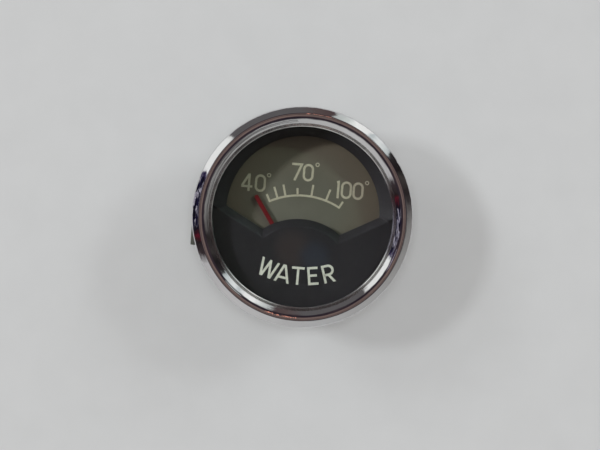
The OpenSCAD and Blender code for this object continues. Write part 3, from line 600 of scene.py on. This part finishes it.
# MASK. Moulded in black plastic with a satin mould finish: a cone runs down to the window,
# whose lower edges are bevelled, and a hump covers the pivot. Its ridges are softly rounded.
# It is a little hazy in patches of 9 mm, and specks of dust lie 2 mm apart.
mask_plastic, tree = bare_material("black_moulded_plastic")
place = add(tree, "TexCoord", {}, "Object")
mould = add(tree, "TexNoise", {"Vector": place, "Scale": 1 / (0.25 * MM), "Detail": 4})
haze = add(tree, "TexNoise", {"Vector": place, "Scale": 1 / (9 * MM), "Detail": 3})
dust = add(tree, "TexVoronoi", {"Vector": place, "Scale": 1 / (2.2 * MM)}, "Distance")
speck = add(tree, "MapRange", {"Value": dust, "From Min": 0.03, "From Max": 0.06, "To Min": 1, "To Max": 0})
colour = add(tree, "Mix", {0: haze, 6: linear("211e22"), 7: linear("2b282c")}, 2, data_type="RGBA")
dusty = add(tree, "Mix", {0: speck, 6: colour, 7: linear("4a4a4a")}, 2, data_type="RGBA")
bump = add(tree, "Bump", {"Height": mould, "Strength": 0.35, "Distance": 0.01 * MM})
shader = add(tree, "BsdfPrincipled", {"Base Color": dusty, "Roughness": 0.5, "Specular IOR Level": 0.3,
                                      "Normal": bump})
add(tree, "OutputMaterial", {"Surface": shader})
eased("mask", "mask_moulded", 0.3, "gauge", "black_mask", mask_plastic, angle=20)

# WORD. Printed on the mask's lower face in pale cream ink, on an arc that opens upwards.
MASK_FACE_Z = 0.3
WORD_CENTRE = (0.2, 10.5)
WORD_R = 26.5
LETTER_H = 4.9
LETTER_INK = 0.64


def letter(sign, lean):
    """One letter, drawn past its head and foot and cut flat there, then put on the arc."""
    top = LETTER_H / 2
    edge = top - LETTER_INK / 2
    shapes = {
        "W": [[(-2.35, top + 0.5), (-1.2, -top - 0.3), (0, top - 0.3), (1.2, -top - 0.3),
               (2.35, top + 0.5)]],
        "A": [[(-1.95, -top - 0.5), (0, top + 0.3), (1.95, -top - 0.5)], [(-1.2, -1.1), (1.2, -1.1)]],
        "T": [[(0, edge), (0, -top)], [(-1.7, edge), (1.7, edge)]],
        "E": [[(1.4, edge), (-1.1, edge), (-1.1, -edge), (1.4, -edge)], [(-1.1, 0.1), (1.1, 0.1)]],
        "R": [[(-1.2, -top), (-1.2, edge), (0.2, edge)] + arc((0.2, edge - 1.2), 1.2, 90, -90, 12)
              + [(-1.2, edge - 2.4)], [(0, edge - 2.4), (1.5, -top - 0.3)]],
    }
    piece = printed("letter_" + sign, shapes[sign], LETTER_INK, MASK_FACE_Z, cut_at=top)
    angle = math.radians(lean)
    x = WORD_CENTRE[0] + WORD_R * math.sin(angle)
    y = WORD_CENTRE[1] - WORD_R * math.cos(angle)
    piece.data.transform(Matrix.Translation((x * MM, y * MM, 0)) @ Matrix.Rotation(angle, 4, "Z"))
    return piece


word_ink = ink("pale_mask_ink", "e2ddd4", 1.0)
for sign, lean in (("W", -18.5), ("A", -9.1), ("T", -0.4), ("E", 8.5), ("R", 17.6)):
    fit(letter(sign, lean), "gauge", "dial_paint", word_ink)

# SEAL. Ring of black rubber under the glass, cut from a moulded tube: dull, faintly grained.
seal_rubber, tree = bare_material("moulded_rubber")
place = add(tree, "TexCoord", {}, "Object")
grain = add(tree, "TexNoise", {"Vector": place, "Scale": 1 / (0.15 * MM), "Detail": 3})
bump = add(tree, "Bump", {"Height": grain, "Strength": 0.4, "Distance": 0.02 * MM})
bloom = add(tree, "Mix", {0: grain, 6: linear("1c1c1c"), 7: linear("2b2b2a")}, 2, data_type="RGBA")
shader = add(tree, "BsdfPrincipled", {"Base Color": bloom, "Roughness": 0.8, "Normal": bump})
add(tree, "OutputMaterial", {"Surface": shader})
dress(seal_rubber, "glass_seal")

# GLASS. Flat disc of float glass with a ground edge, clear and faintly green. Lamps and
# soft light pass straight through it to the dial, as they do through a thin pane.
clear_glass, tree = bare_material("float_glass")
rays = add(tree, "LightPath", {}).node.outputs
passes = add(tree, "Math", {0: rays["Is Shadow Ray"], 1: rays["Is Diffuse Ray"]}, operation="MAXIMUM")
pane = add(tree, "BsdfPrincipled", {"Base Color": linear("f4f8f6"), "Roughness": 0.0, "IOR": 1.5,
                                    "Transmission Weight": 1.0})
clear = add(tree, "BsdfTransparent", {"Color": linear("f4f8f6")})
surface = add(tree, "MixShader", {0: passes, 1: pane, 2: clear})
add(tree, "OutputMaterial", {"Surface": surface})
dress(clear_glass, "glass")

# LIP RING. Thin bright ring between the glass and the bezel. Three fine ridges are turned on
# it and milled across every 0.4 mm, which catches the light as a pale rope-like line.
LIP_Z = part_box("lip_ring")[0].z / MM
LIP_R = 26.9
SERRATIONS = 390
RIDGE_W = 0.3
RIDGE_H = 0.27
RIDGE_CUT = 0.07
lip_profile = [(LIP_R, LIP_Z), (24.52, LIP_Z)]
for ridge_r in (24.5, 24.8, 25.1):
    lip_profile += [(ridge_r, LIP_Z + 0.02), (ridge_r + RIDGE_W - 0.02, LIP_Z + RIDGE_H)]
lip_profile += [(25.44, LIP_Z + 0.02), (LIP_R, LIP_Z + 0.02)]
lip = turned("lip_ring_serrated", lip_profile, SERRATIONS * 2)
for vertex in lip.data.vertices:
    column = round(math.atan2(vertex.co.y, vertex.co.x) / math.tau * SERRATIONS * 2)
    if column % 2 and vertex.co.z > (LIP_Z + 0.2) * MM:
        vertex.co.z -= RIDGE_CUT * MM
bright_lip = metal("milled_bright_aluminium", "d3d3d1", "ebebe9", 3, 0.2, (1, 1, 1), 0.22, 0.004)
fit(lip, "gauge", "bright_lip", bright_lip, "lip_ring")

# BEZEL. Ring of brass sheet spun to a V section, chromed and polished, and rolled over the
# case's flange at its back. The chrome is bright, with the faint waves of hand polishing.
BEZEL_R = 30.0
BEZEL_BORE = 26.1
BACK_ROUND = 0.6
SKIRT_H = 3.0
BEZEL_H = 5.3
CREST_R = 27.6
FLANK_R = 25.45
FLANK_Z = 3.55
SHEET = 0.45
UNDER_ROUND = 1.3
RIDGE_OUT = 0.7
RIDGE_IN = 2.0
SHOULDER_ROUND = 0.5
CROWN = 4
CROWN_H = 0.035
outer_slope = math.atan((BEZEL_H - SKIRT_H) / (BEZEL_R - CREST_R))
inner_slope = math.atan((BEZEL_H - FLANK_Z) / (CREST_R - FLANK_R))


def crest_at(depth):
    """The point that lies depth mm under both flanks of the bezel."""
    a = SKIRT_H + BEZEL_R * math.tan(outer_slope) - depth / math.cos(outer_slope)
    b = FLANK_Z - FLANK_R * math.tan(inner_slope) - depth / math.cos(inner_slope)
    r = (a - b) / (math.tan(outer_slope) + math.tan(inner_slope))
    return r, b + r * math.tan(inner_slope)


def crowned(start, end):
    """Points between two points of an outline, which bulge by CROWN_H to the left."""
    along = (end[0] - start[0], end[1] - start[1])
    length = math.hypot(*along)
    steps = [(i / 8, 4 * CROWN_H / length * i / 8 * (1 - i / 8)) for i in range(1, 8)]
    return [(start[0] + t * along[0] + b * along[1], start[1] + t * along[1] - b * along[0])
            for t, b in steps]


outer_angle = math.degrees(outer_slope)
inner_angle = math.degrees(inner_slope)
back_mid = (BEZEL_R - BACK_ROUND, BACK_ROUND)
skirt_mid = (BEZEL_R - SHOULDER_ROUND, SKIRT_H - SHOULDER_ROUND * math.tan((math.pi / 2 - outer_slope) / 2))
rim = arc(skirt_mid, SHOULDER_ROUND, 0, 90 - outer_angle - CROWN, 8)
# The ridge is two arcs that meet level at its top: a tight one outside, a wider one inside
out_c, out_s = math.cos(outer_slope), math.sin(outer_slope)
in_c, in_s = math.cos(inner_slope), math.sin(inner_slope)
out_reach = BEZEL_R * out_s + SKIRT_H * out_c - RIDGE_OUT * (1 - out_c)
in_reach = FLANK_Z * in_c - FLANK_R * in_s - RIDGE_IN * (1 - in_c)
between = out_c * in_s + in_c * out_s
top_r = (in_c * out_reach - out_c * in_reach) / between
top_z = (out_s * in_reach + in_s * out_reach) / between
crest = arc((top_r, top_z - RIDGE_OUT), RIDGE_OUT, 90 - outer_angle + CROWN, 90, 8)
crest += arc((top_r, top_z - RIDGE_IN), RIDGE_IN, 90, 90 + inner_angle - CROWN, 16)[1:]
bezel_profile = [(BEZEL_BORE, 0), (BEZEL_R - BACK_ROUND, 0)] + arc(back_mid, BACK_ROUND, -80, 0, 6)
bezel_profile += rim + crowned(rim[-1], crest[0]) + crest + crowned(crest[-1], (FLANK_R, FLANK_Z))
bezel_profile += [(FLANK_R, FLANK_Z), (FLANK_R + SHEET / math.sin(inner_slope), FLANK_Z)]
bezel_profile += arc(crest_at(UNDER_ROUND), UNDER_ROUND - SHEET, 90 + inner_angle, 90 - outer_angle, 8)
bezel_profile += [(BEZEL_R - SHEET, SKIRT_H - 0.15), (BEZEL_R - SHEET, SHEET), (BEZEL_BORE, SHEET)]
bezel = turned("bezel_chromed", bezel_profile, 256)

# The waves are 5 mm long; the pits of 0.5 mm dull the chrome a little
chrome, tree = bare_material("polished_chrome")
place = add(tree, "TexCoord", {}, "Object")
wave = add(tree, "TexNoise", {"Vector": place, "Scale": 1 / (5 * MM), "Detail": 2})
pits = add(tree, "TexNoise", {"Vector": place, "Scale": 1 / (0.5 * MM), "Detail": 4})
relief = add(tree, "Math", {0: pits, 1: 0.04, 2: wave}, operation="MULTIPLY_ADD")
bump = add(tree, "Bump", {"Height": relief, "Strength": 0.5, "Distance": 0.15 * MM})
dulled = add(tree, "MapRange", {"Value": pits, "From Min": 0.4, "From Max": 0.8,
                                "To Min": 0.02, "To Max": 0.08})
colour = add(tree, "Mix", {0: wave, 6: linear("dcdadb"), 7: linear("e8e8ea")}, 2, data_type="RGBA")
shader = add(tree, "BsdfPrincipled", {"Base Color": colour, "Metallic": 1.0, "Roughness": dulled,
                                      "Normal": bump})
add(tree, "OutputMaterial", {"Surface": shader})
fit(bezel, "gauge", "chrome", chrome, "bezel")

# CLAMP. A U-shaped strap of plated steel presses its legs on the panel's back. Spring washers
# and two knurled brass nuts, turned by hand, pull it up on the studs.
KNURLS = 56
KNURL_R = 5.0
KNURL_CUT = 0.22
COLLAR_R = 3.8
KNOB_H = 5.0
bracket_steel = metal("passivated_bracket_steel", "666c64", "70766e", 4, 0.4, (1, 6, 1), 0.42, 0.01, bare=0.5)
eased("clamp_bracket", "clamp_bracket_bent", 0.25, "bracket", "bracket_steel", bracket_steel)
dark_steel = metal("blued_spring_steel", "3c3d41", "57585c", 2, 0.2, (1, 1, 1), 0.35, 0.005)
eased("spring_washers", "spring_washers_split", 0.12, "bracket", "dark_steel", dark_steel)
knob_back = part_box("clamp_nut_left")[0].z / MM
knob_profile = [(NUT_BORE, 0.3), (NUT_BORE + 0.3, 0), (KNURL_R - 0.4, 0), (KNURL_R, 0.4), (KNURL_R, 3.1),
                (4.7, 3.4), (3.9, 3.4), (COLLAR_R, 3.5), (COLLAR_R, KNOB_H - 0.15), (3.65, KNOB_H),
                (NUT_BORE + 0.3, KNOB_H), (NUT_BORE, 4.7)]
for side, node in ((-1, "clamp_nut_left"), (1, "clamp_nut_right")):
    knob = turned(node + "_knurled", knob_profile, KNURLS * 4)
    for vertex in knob.data.vertices:
        reach = math.hypot(vertex.co.x, vertex.co.y)
        column = round(math.atan2(vertex.co.y, vertex.co.x) / math.tau * KNURLS * 4) % 4
        if column == 0 and reach > (KNURL_R - 0.05) * MM:
            vertex.co.x *= 1 - KNURL_CUT / KNURL_R
            vertex.co.y *= 1 - KNURL_CUT / KNURL_R
    shift(knob.data, side * STUD_X, STUD_Y, knob_back)
    fit(knob, node.replace("clamp_nut", "nut"), "brass", brass, node)

# LAMP SOCKET. A drawn steel tube, zinc plated, is pushed into the case's back until its
# flange stops it, and two claws hold it. A laminate disc insulates the riveted brass blade.
eased("lamp_socket", "lamp_socket_drawn", 0.1, "lamp", "plated_steel", zinc)
eased("lamp_insulator", "lamp_insulator_turned", 0.1, "lamp", "phenolic", laminate)
eased("lamp_contact", "lamp_contact_stamped", 0.1, "lamp", "brass", brass)

# BULB. A bayonet bulb: a drawn brass cap with two pins and a drop of solder, and a blown
# glass, wavy over 3 mm, that holds a glass stem, two posts and a coiled tungsten wire.
LAMP_Y = 14.0
STEM_R = 1.6
POST_X = 1.0
POST_R = 0.12
COIL_R = 0.25
COIL_WIRE_R = 0.05
COIL_TURNS = 12
cap_brass = metal("drawn_cap_brass", "b0914c", "cbb06a", 3, 0.3, (4, 4, 0.5), 0.3, 0.005)
eased("bulb_cap", "bulb_cap_drawn", 0.12, "bulb", "bulb_brass", cap_brass)
solder = metal("soft_solder", "8e9092", "b2b4b6", 0.8, 0.3, (1, 1, 1), 0.38, 0.03)
eased("bulb_tip", "bulb_tip_soldered", 0.25, "bulb", "solder", solder)
filament_low, filament_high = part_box("bulb_filament")
stem_foot = filament_low.z / MM
coil_z = filament_high.z / MM - COIL_R
stem_top = coil_z - 4.0
stem = turned("stem", [(0.3, stem_foot), (STEM_R, stem_foot), (STEM_R, stem_top - 1.5), (1.2, stem_top - 0.3),
                       (0.6, stem_top), (0.3, stem_top)], 32)
shift(stem.data, 0, LAMP_Y, 0)
posts = [wire("post", [(x, LAMP_Y, stem_top - 2), (x, LAMP_Y, coil_z)], POST_R) for x in (-POST_X, POST_X)]
coil = [(-POST_X + 2 * POST_X * i / (COIL_TURNS * 12),
         LAMP_Y + (COIL_R - COIL_WIRE_R) * math.sin(math.tau * i / 12),
         coil_z + (COIL_R - COIL_WIRE_R) * math.cos(math.tau * i / 12)) for i in range(COIL_TURNS * 12 + 1)]
tungsten = metal("tungsten_wire", "77777a", "9a9a9c", 1, 0.1, (1, 1, 1), 0.4, 0.002)
filament = together("bulb_filament_coiled", [stem, *posts, wire("coil", coil, COIL_WIRE_R)])
fit(filament, "bulb", "filament_wire", tungsten, "bulb_filament")
blown_glass, tree = bare_material("blown_bulb_glass")
place = add(tree, "TexCoord", {}, "Object")
shadow_ray = add(tree, "LightPath", {}, "Is Shadow Ray")
waves = add(tree, "TexNoise", {"Vector": place, "Scale": 1 / (3 * MM), "Detail": 1})
bump = add(tree, "Bump", {"Height": waves, "Strength": 0.2, "Distance": 0.1 * MM})
pane = add(tree, "BsdfPrincipled", {"Base Color": linear("f6f8f7"), "Roughness": 0.02, "IOR": 1.5,
                                    "Transmission Weight": 1.0, "Normal": bump})
clear = add(tree, "BsdfTransparent", {"Color": linear("f6f8f7")})
surface = add(tree, "MixShader", {0: shadow_ray, 1: pane, 2: clear})
add(tree, "OutputMaterial", {"Surface": surface})
dress(blown_glass, "bulb_glass")

# FLOOR. Smooth pale grey table top, clouded over 12 mm, that the gauge lies on, face up,
# resting on its studs.
FLOOR_R = 0.45
bpy.ops.object.select_all(action="DESELECT")
bpy.ops.mesh.primitive_circle_add(vertices=96, radius=FLOOR_R, fill_type="NGON", location=(0, 0, cad_low.z))
floor = bpy.context.object
floor.name = "floor"
bpy.ops.object.transform_apply(location=True, rotation=True, scale=True)
table, tree = bare_material("pale_table")
place = add(tree, "TexCoord", {}, "Object")
cloudy = add(tree, "TexNoise", {"Vector": place, "Scale": 1 / (12 * MM), "Detail": 6})
colour = add(tree, "Mix", {0: cloudy, 6: linear("c5c9cb"), 7: linear("ccd0d2")}, 2, data_type="RGBA")
shader = add(tree, "BsdfPrincipled", {"Base Color": colour, "Roughness": 0.65})
add(tree, "OutputMaterial", {"Surface": shader})
floor.data.materials.append(table)

# ROOM. The world gives plain even light, and bright metal mirrors a made-up room: a window on
# the right, a dark doorway past it, pale walls behind, a jumble of things and a second window
# on the left, a dim wall ahead, dark upper walls and a brown ceiling.
AMBIENT = 0.34
ROLL = math.radians(4.6)
JOG = 0.03
# Middle and half width, in turns, of the lined walls, the jumble and the row of copper lamps
LINED = (0.34, 0.15)
JUMBLE = (0.775, 0.038)
ROW = (0.03, 0.02)
# Heights are sines of the elevation: where the upper walls and the ceiling begin, and the
# middle and half height of the row
UPPER_WALLS = (0.425, 0.505)
CEILING = (0.875, 0.955)
ROW_UP = (0.87, 0.06)
BEAD_APART = 3.4
# Colours of the walls by azimuth in degrees, clockwise from the picture's top
WALLS = [(0, "5a5758"), (9, "574b4a"), (17, "4e4243"), (20, "b9bfbd"), (26, "d0d5d2"), (30, "f4f6f3"),
         (38, "eceeeb"), (41, "b4bdbe"), (45, "e0e4e2"), (53, "bcc4c4"), (55, "2b2829"), (63, "1d1a1b"),
         (69, "3d3937"), (78, "272223"), (86, "5c5958"), (94, "7c7b79"), (125, "969694"), (170, "aaabaa"),
         (215, "bbbbba"), (244, "b2b1b1"), (250, "3a3234"), (258, "1e1a1b"), (259.5, "521a24"),
         (261, "5a1a27"), (262, "17151a"), (294, "3a3350"), (297, "eceeec"), (317, "e6e8e5"), (320, "5a5859")]
# Colours of the jumble, which is dark, blue and lilac, by the value of its noise
THINGS = [(0.38, "0b0a0f"), (0.44, "1d1b34"), (0.5, "14121a"), (0.53, "85828f"), (0.57, "b7b4be"),
          (0.6, "57536c"), (0.66, "17141c")]
# The glass mirrors a dark patch of ceiling with two pale spots right over the dial, and the
# chrome a pale lamp on each side further out. Their places, and their radii inside and
# outside a ragged edge, are in mm on a level sheet 600 mm up.
SHEET_UP = 600.0
LAMP_AWAY = 620
SPOTS = [((0, 0, 0), 30, 34, "241f1e"), ((-1.5, -6.5, 0), 3, 6, "6e5c54"), ((4.5, -8, 0), 2.5, 5, "4c5a70")]
for degrees, code in ((44, "e6efec"), (297, "cdc2d6")):
    turn = math.radians(degrees) - ROLL
    SPOTS.append(((LAMP_AWAY * math.sin(turn), LAMP_AWAY * math.cos(turn), 0), 60, 78, code))


def fill(ramp, stops):
    """Gives a new colour ramp its stops, each a place from 0 to 1 and a colour."""
    for stop, code in stops[2:]:
        ramp.elements.new(stop)
    for element, (stop, code) in zip(ramp.elements, stops):
        element.position = stop
        element.color = linear(code)


world = bpy.data.worlds.new("room")
bpy.context.scene.world = world
world.use_nodes = True
tree = world.node_tree
tree.nodes.clear()
look = add(tree, "TexCoord", {}, "Generated")
east, north, up = add(tree, "SeparateXYZ", {0: look}).node.outputs
azimuth = add(tree, "Math", {0: east, 1: north}, operation="ARCTAN2")
unrolled = add(tree, "Math", {0: azimuth, 1: ROLL}, operation="ADD")
turns = add(tree, "Math", {0: unrolled, 1: 1 / math.tau}, operation="MULTIPLY")
streaks = add(tree, "TexNoise", {"Vector": look, "Scale": 7.0, "Detail": 5, "Roughness": 0.6})
# Once round the room, around goes from 0 to 1, and noise jogs it so that edges are ragged
jogged = add(tree, "Math", {0: streaks, 1: JOG, 2: turns}, operation="MULTIPLY_ADD")
centred = add(tree, "Math", {0: jogged, 1: 1 - JOG / 2}, operation="ADD")
around = add(tree, "Math", {0: centred}, operation="FRACT")
at_lined, at_jumble, at_row = (add(tree, "Math", {0: around, 1: middle, 2: half}, operation="COMPARE")
                               for middle, half in (LINED, JUMBLE, ROW))
walls = add(tree, "ValToRGB", {0: around})
fill(walls.node.color_ramp, [(degrees / 360, code) for degrees, code in WALLS])
unfolded = add(tree, "CombineXYZ", {0: around, 1: up})
# On the right and behind, the walls carry level dark lines, which ring the inner flank
squeezed = add(tree, "Mapping", {"Vector": unfolded, "Scale": (6, 22, 1)})
lines = add(tree, "TexNoise", {"Vector": squeezed, "Scale": 1.0, "Detail": 2})
dark_line = add(tree, "MapRange", {"Value": lines, "From Min": 0.46, "From Max": 0.56,
                                   "To Min": 0, "To Max": 0.75})
off_floor = add(tree, "MapRange", {"Value": up, "From Min": 0.11, "From Max": 0.15})
there = add(tree, "Math", {0: at_lined, 1: off_floor}, operation="MULTIPLY")
lined = add(tree, "Math", {0: there, 1: dark_line}, operation="MULTIPLY")
# The jumble stands beside the left window
heaped = add(tree, "Mapping", {"Vector": unfolded, "Scale": (52, 7, 1), "Rotation": (0, 0, 0.15)})
jumble = add(tree, "TexNoise", {"Vector": heaped, "Scale": 1.0, "Detail": 3})
things = add(tree, "ValToRGB", {0: jumble})
fill(things.node.color_ramp, THINGS)
# The upper walls and the ceiling are beamed, and begin at a ragged height
ragged_up = add(tree, "Math", {0: streaks, 1: 0.1, 2: up}, operation="MULTIPLY_ADD")
beams = add(tree, "MapRange", {"Value": streaks, "From Min": 0.36, "From Max": 0.66})
# What covers the walls, from the first to the last: how much it covers, and its colour
layers = [(lined, linear("2b2929")), (at_jumble, things)]
for (start, end), dark, pale in ((UPPER_WALLS, "1c1923", "3f3539"), (CEILING, "5e5250", "7c6963")):
    above = add(tree, "MapRange", {"Value": ragged_up, "From Min": start, "From Max": end})
    beamed = add(tree, "Mix", {0: beams, 6: linear(dark), 7: linear(pale)}, 2, data_type="RGBA")
    layers.append((above, beamed))
least_up = add(tree, "Math", {0: up, 1: 0.05}, operation="MAXIMUM")
spread = add(tree, "Math", {0: SHEET_UP, 1: least_up}, operation="DIVIDE")
reached = add(tree, "VectorMath", {0: look, "Scale": spread}, operation="SCALE")
on_sheet = add(tree, "VectorMath", {0: reached, 1: (1, 1, 0)}, operation="MULTIPLY")
ragged = add(tree, "TexNoise", {"Vector": on_sheet, "Scale": 0.09, "Detail": 3})
for spot, inner, outer, code in SPOTS:
    from_spot = add(tree, "VectorMath", {0: on_sheet, 1: spot}, "Value", operation="DISTANCE")
    torn = add(tree, "Math", {0: ragged, 1: outer * 0.4, 2: from_spot}, operation="MULTIPLY_ADD")
    inside = add(tree, "MapRange", {"Value": torn, "From Min": inner + outer * 0.2,
                                    "From Max": outer * 1.2, "To Min": 1, "To Max": 0})
    layers.append((inside, linear(code)))
# A row of small copper lamps hangs ahead and glints on the bezel's ridge
high = add(tree, "Math", {0: up, 1: ROW_UP[0], 2: ROW_UP[1]}, operation="COMPARE")
phase = add(tree, "Math", {0: turns, 1: math.tau * 360 / BEAD_APART}, operation="MULTIPLY")
beads = add(tree, "Math", {0: phase}, operation="SINE")
bead = add(tree, "MapRange", {"Value": beads, "From Min": 0.2, "From Max": 0.9})
lit = add(tree, "Math", {0: at_row, 1: high}, operation="MULTIPLY")
glint = add(tree, "Math", {0: lit, 1: bead}, operation="MULTIPLY")
copper = add(tree, "VectorMath", {0: linear("bd7f6c")[:3], "Scale": 3.0}, operation="SCALE")
layers.append((glint, copper))
colour = walls
for cover, paint in layers:
    colour = add(tree, "Mix", {0: cover, 6: colour, 7: paint}, 2, data_type="RGBA")
rays = add(tree, "LightPath", {}).node.outputs
mirrored = add(tree, "Math", {0: rays["Is Glossy Ray"], 1: rays["Is Transmission Ray"]}, operation="MAXIMUM")
glossy = add(tree, "Background", {"Color": colour, "Strength": 1.15})
plain = add(tree, "Background", {"Color": linear("e2d4cb"), "Strength": AMBIENT})
backdrop = add(tree, "Background", {"Color": linear("cdcdce"), "Strength": 1.0})
seen = add(tree, "MixShader", {0: mirrored, 1: plain, 2: glossy})
final = add(tree, "MixShader", {0: rays["Is Camera Ray"], 1: seen, 2: backdrop})
add(tree, "OutputWorld", {"Surface": final})

# LAMPS. Two low windows near by reach past the rim to the dial and light the gauge alone. Five
# lamps further off light the table alone: the gauge's shadows fall to both sides of it, and
# the overhead lamp's hides under it. None of them shows in bright metal.
WINDOWS_AWAY = 0.85
TABLE_LAMPS_AWAY = 2.0
WHITE = (1, 1, 1)
# Azimuth clockwise from the picture's top, elevation, width in metres, power and colour
WINDOWS = [("left_window", 293, 28.5, 0.07, 7.6, (1, 0.99, 1.02)),
           ("right_window", 55, 34, 0.07, 2.3, (0.74, 1, 0.86))]
TABLE_LAMPS = [("left_high_table_lamp", 287, 63, 0.18, 7.0, WHITE),
               ("left_low_table_lamp", 304, 52, 0.45, 4.3, WHITE),
               ("right_high_table_lamp", 62, 56, 0.26, 3.7, WHITE),
               ("right_low_table_lamp", 55, 45, 0.45, 2.6, WHITE),
               ("top_table_lamp", 0, 89, 0.3, 16.6, WHITE)]
on_table = bpy.data.collections.new("on_table")
on_table.objects.link(floor)
on_gauge = bpy.data.collections.new("on_gauge")
on_gauge.objects.link(floor)
on_gauge.collection_objects[0].light_linking.link_state = "EXCLUDE"
for lamps, away, receivers in ((WINDOWS, WINDOWS_AWAY, on_gauge), (TABLE_LAMPS, TABLE_LAMPS_AWAY, on_table)):
    for name, degrees, elevation, size, power, tint in lamps:
        light = bpy.data.lights.new(name, "AREA")
        light.size = size
        light.energy = power
        light.color = tint
        lamp = linked(name, light)
        lamp.visible_glossy = False
        lamp.light_linking.receiver_collection = receivers
        turn = math.radians(degrees) - ROLL
        lift = math.radians(elevation)
        lamp.location = (away * math.cos(lift) * math.sin(turn), away * math.cos(lift) * math.cos(turn),
                         away * math.sin(lift))
        lamp.rotation_euler = (math.pi / 2 - lift, 0, math.pi - turn)

# CAMERA. Straight above the dial at 0.6 m, rolled so that the dial leans 4.6 degrees. OFFSET
# is the place of the gauge's axis in the picture, in pixels right of and under its middle.
CAMERA_HEIGHT = 0.6
PIXELS_PER_MM = 3.674
PICTURE_W = 600
SENSOR_W = 36
OFFSET = (2.4, -7.9)
lens = bpy.data.cameras.new("camera")
lens.sensor_width = SENSOR_W
lens.lens = SENSOR_W * PIXELS_PER_MM * CAMERA_HEIGHT / MM / PICTURE_W
camera = linked("camera", lens)
bpy.context.scene.camera = camera
right = -OFFSET[0] / PIXELS_PER_MM * MM
upward = OFFSET[1] / PIXELS_PER_MM * MM
camera.location = (right * math.cos(ROLL) - upward * math.sin(ROLL),
                   right * math.sin(ROLL) + upward * math.cos(ROLL), CAMERA_HEIGHT)
camera.rotation_euler = (0, 0, ROLL)
bpy.context.scene.view_settings.view_transform = "Standard"
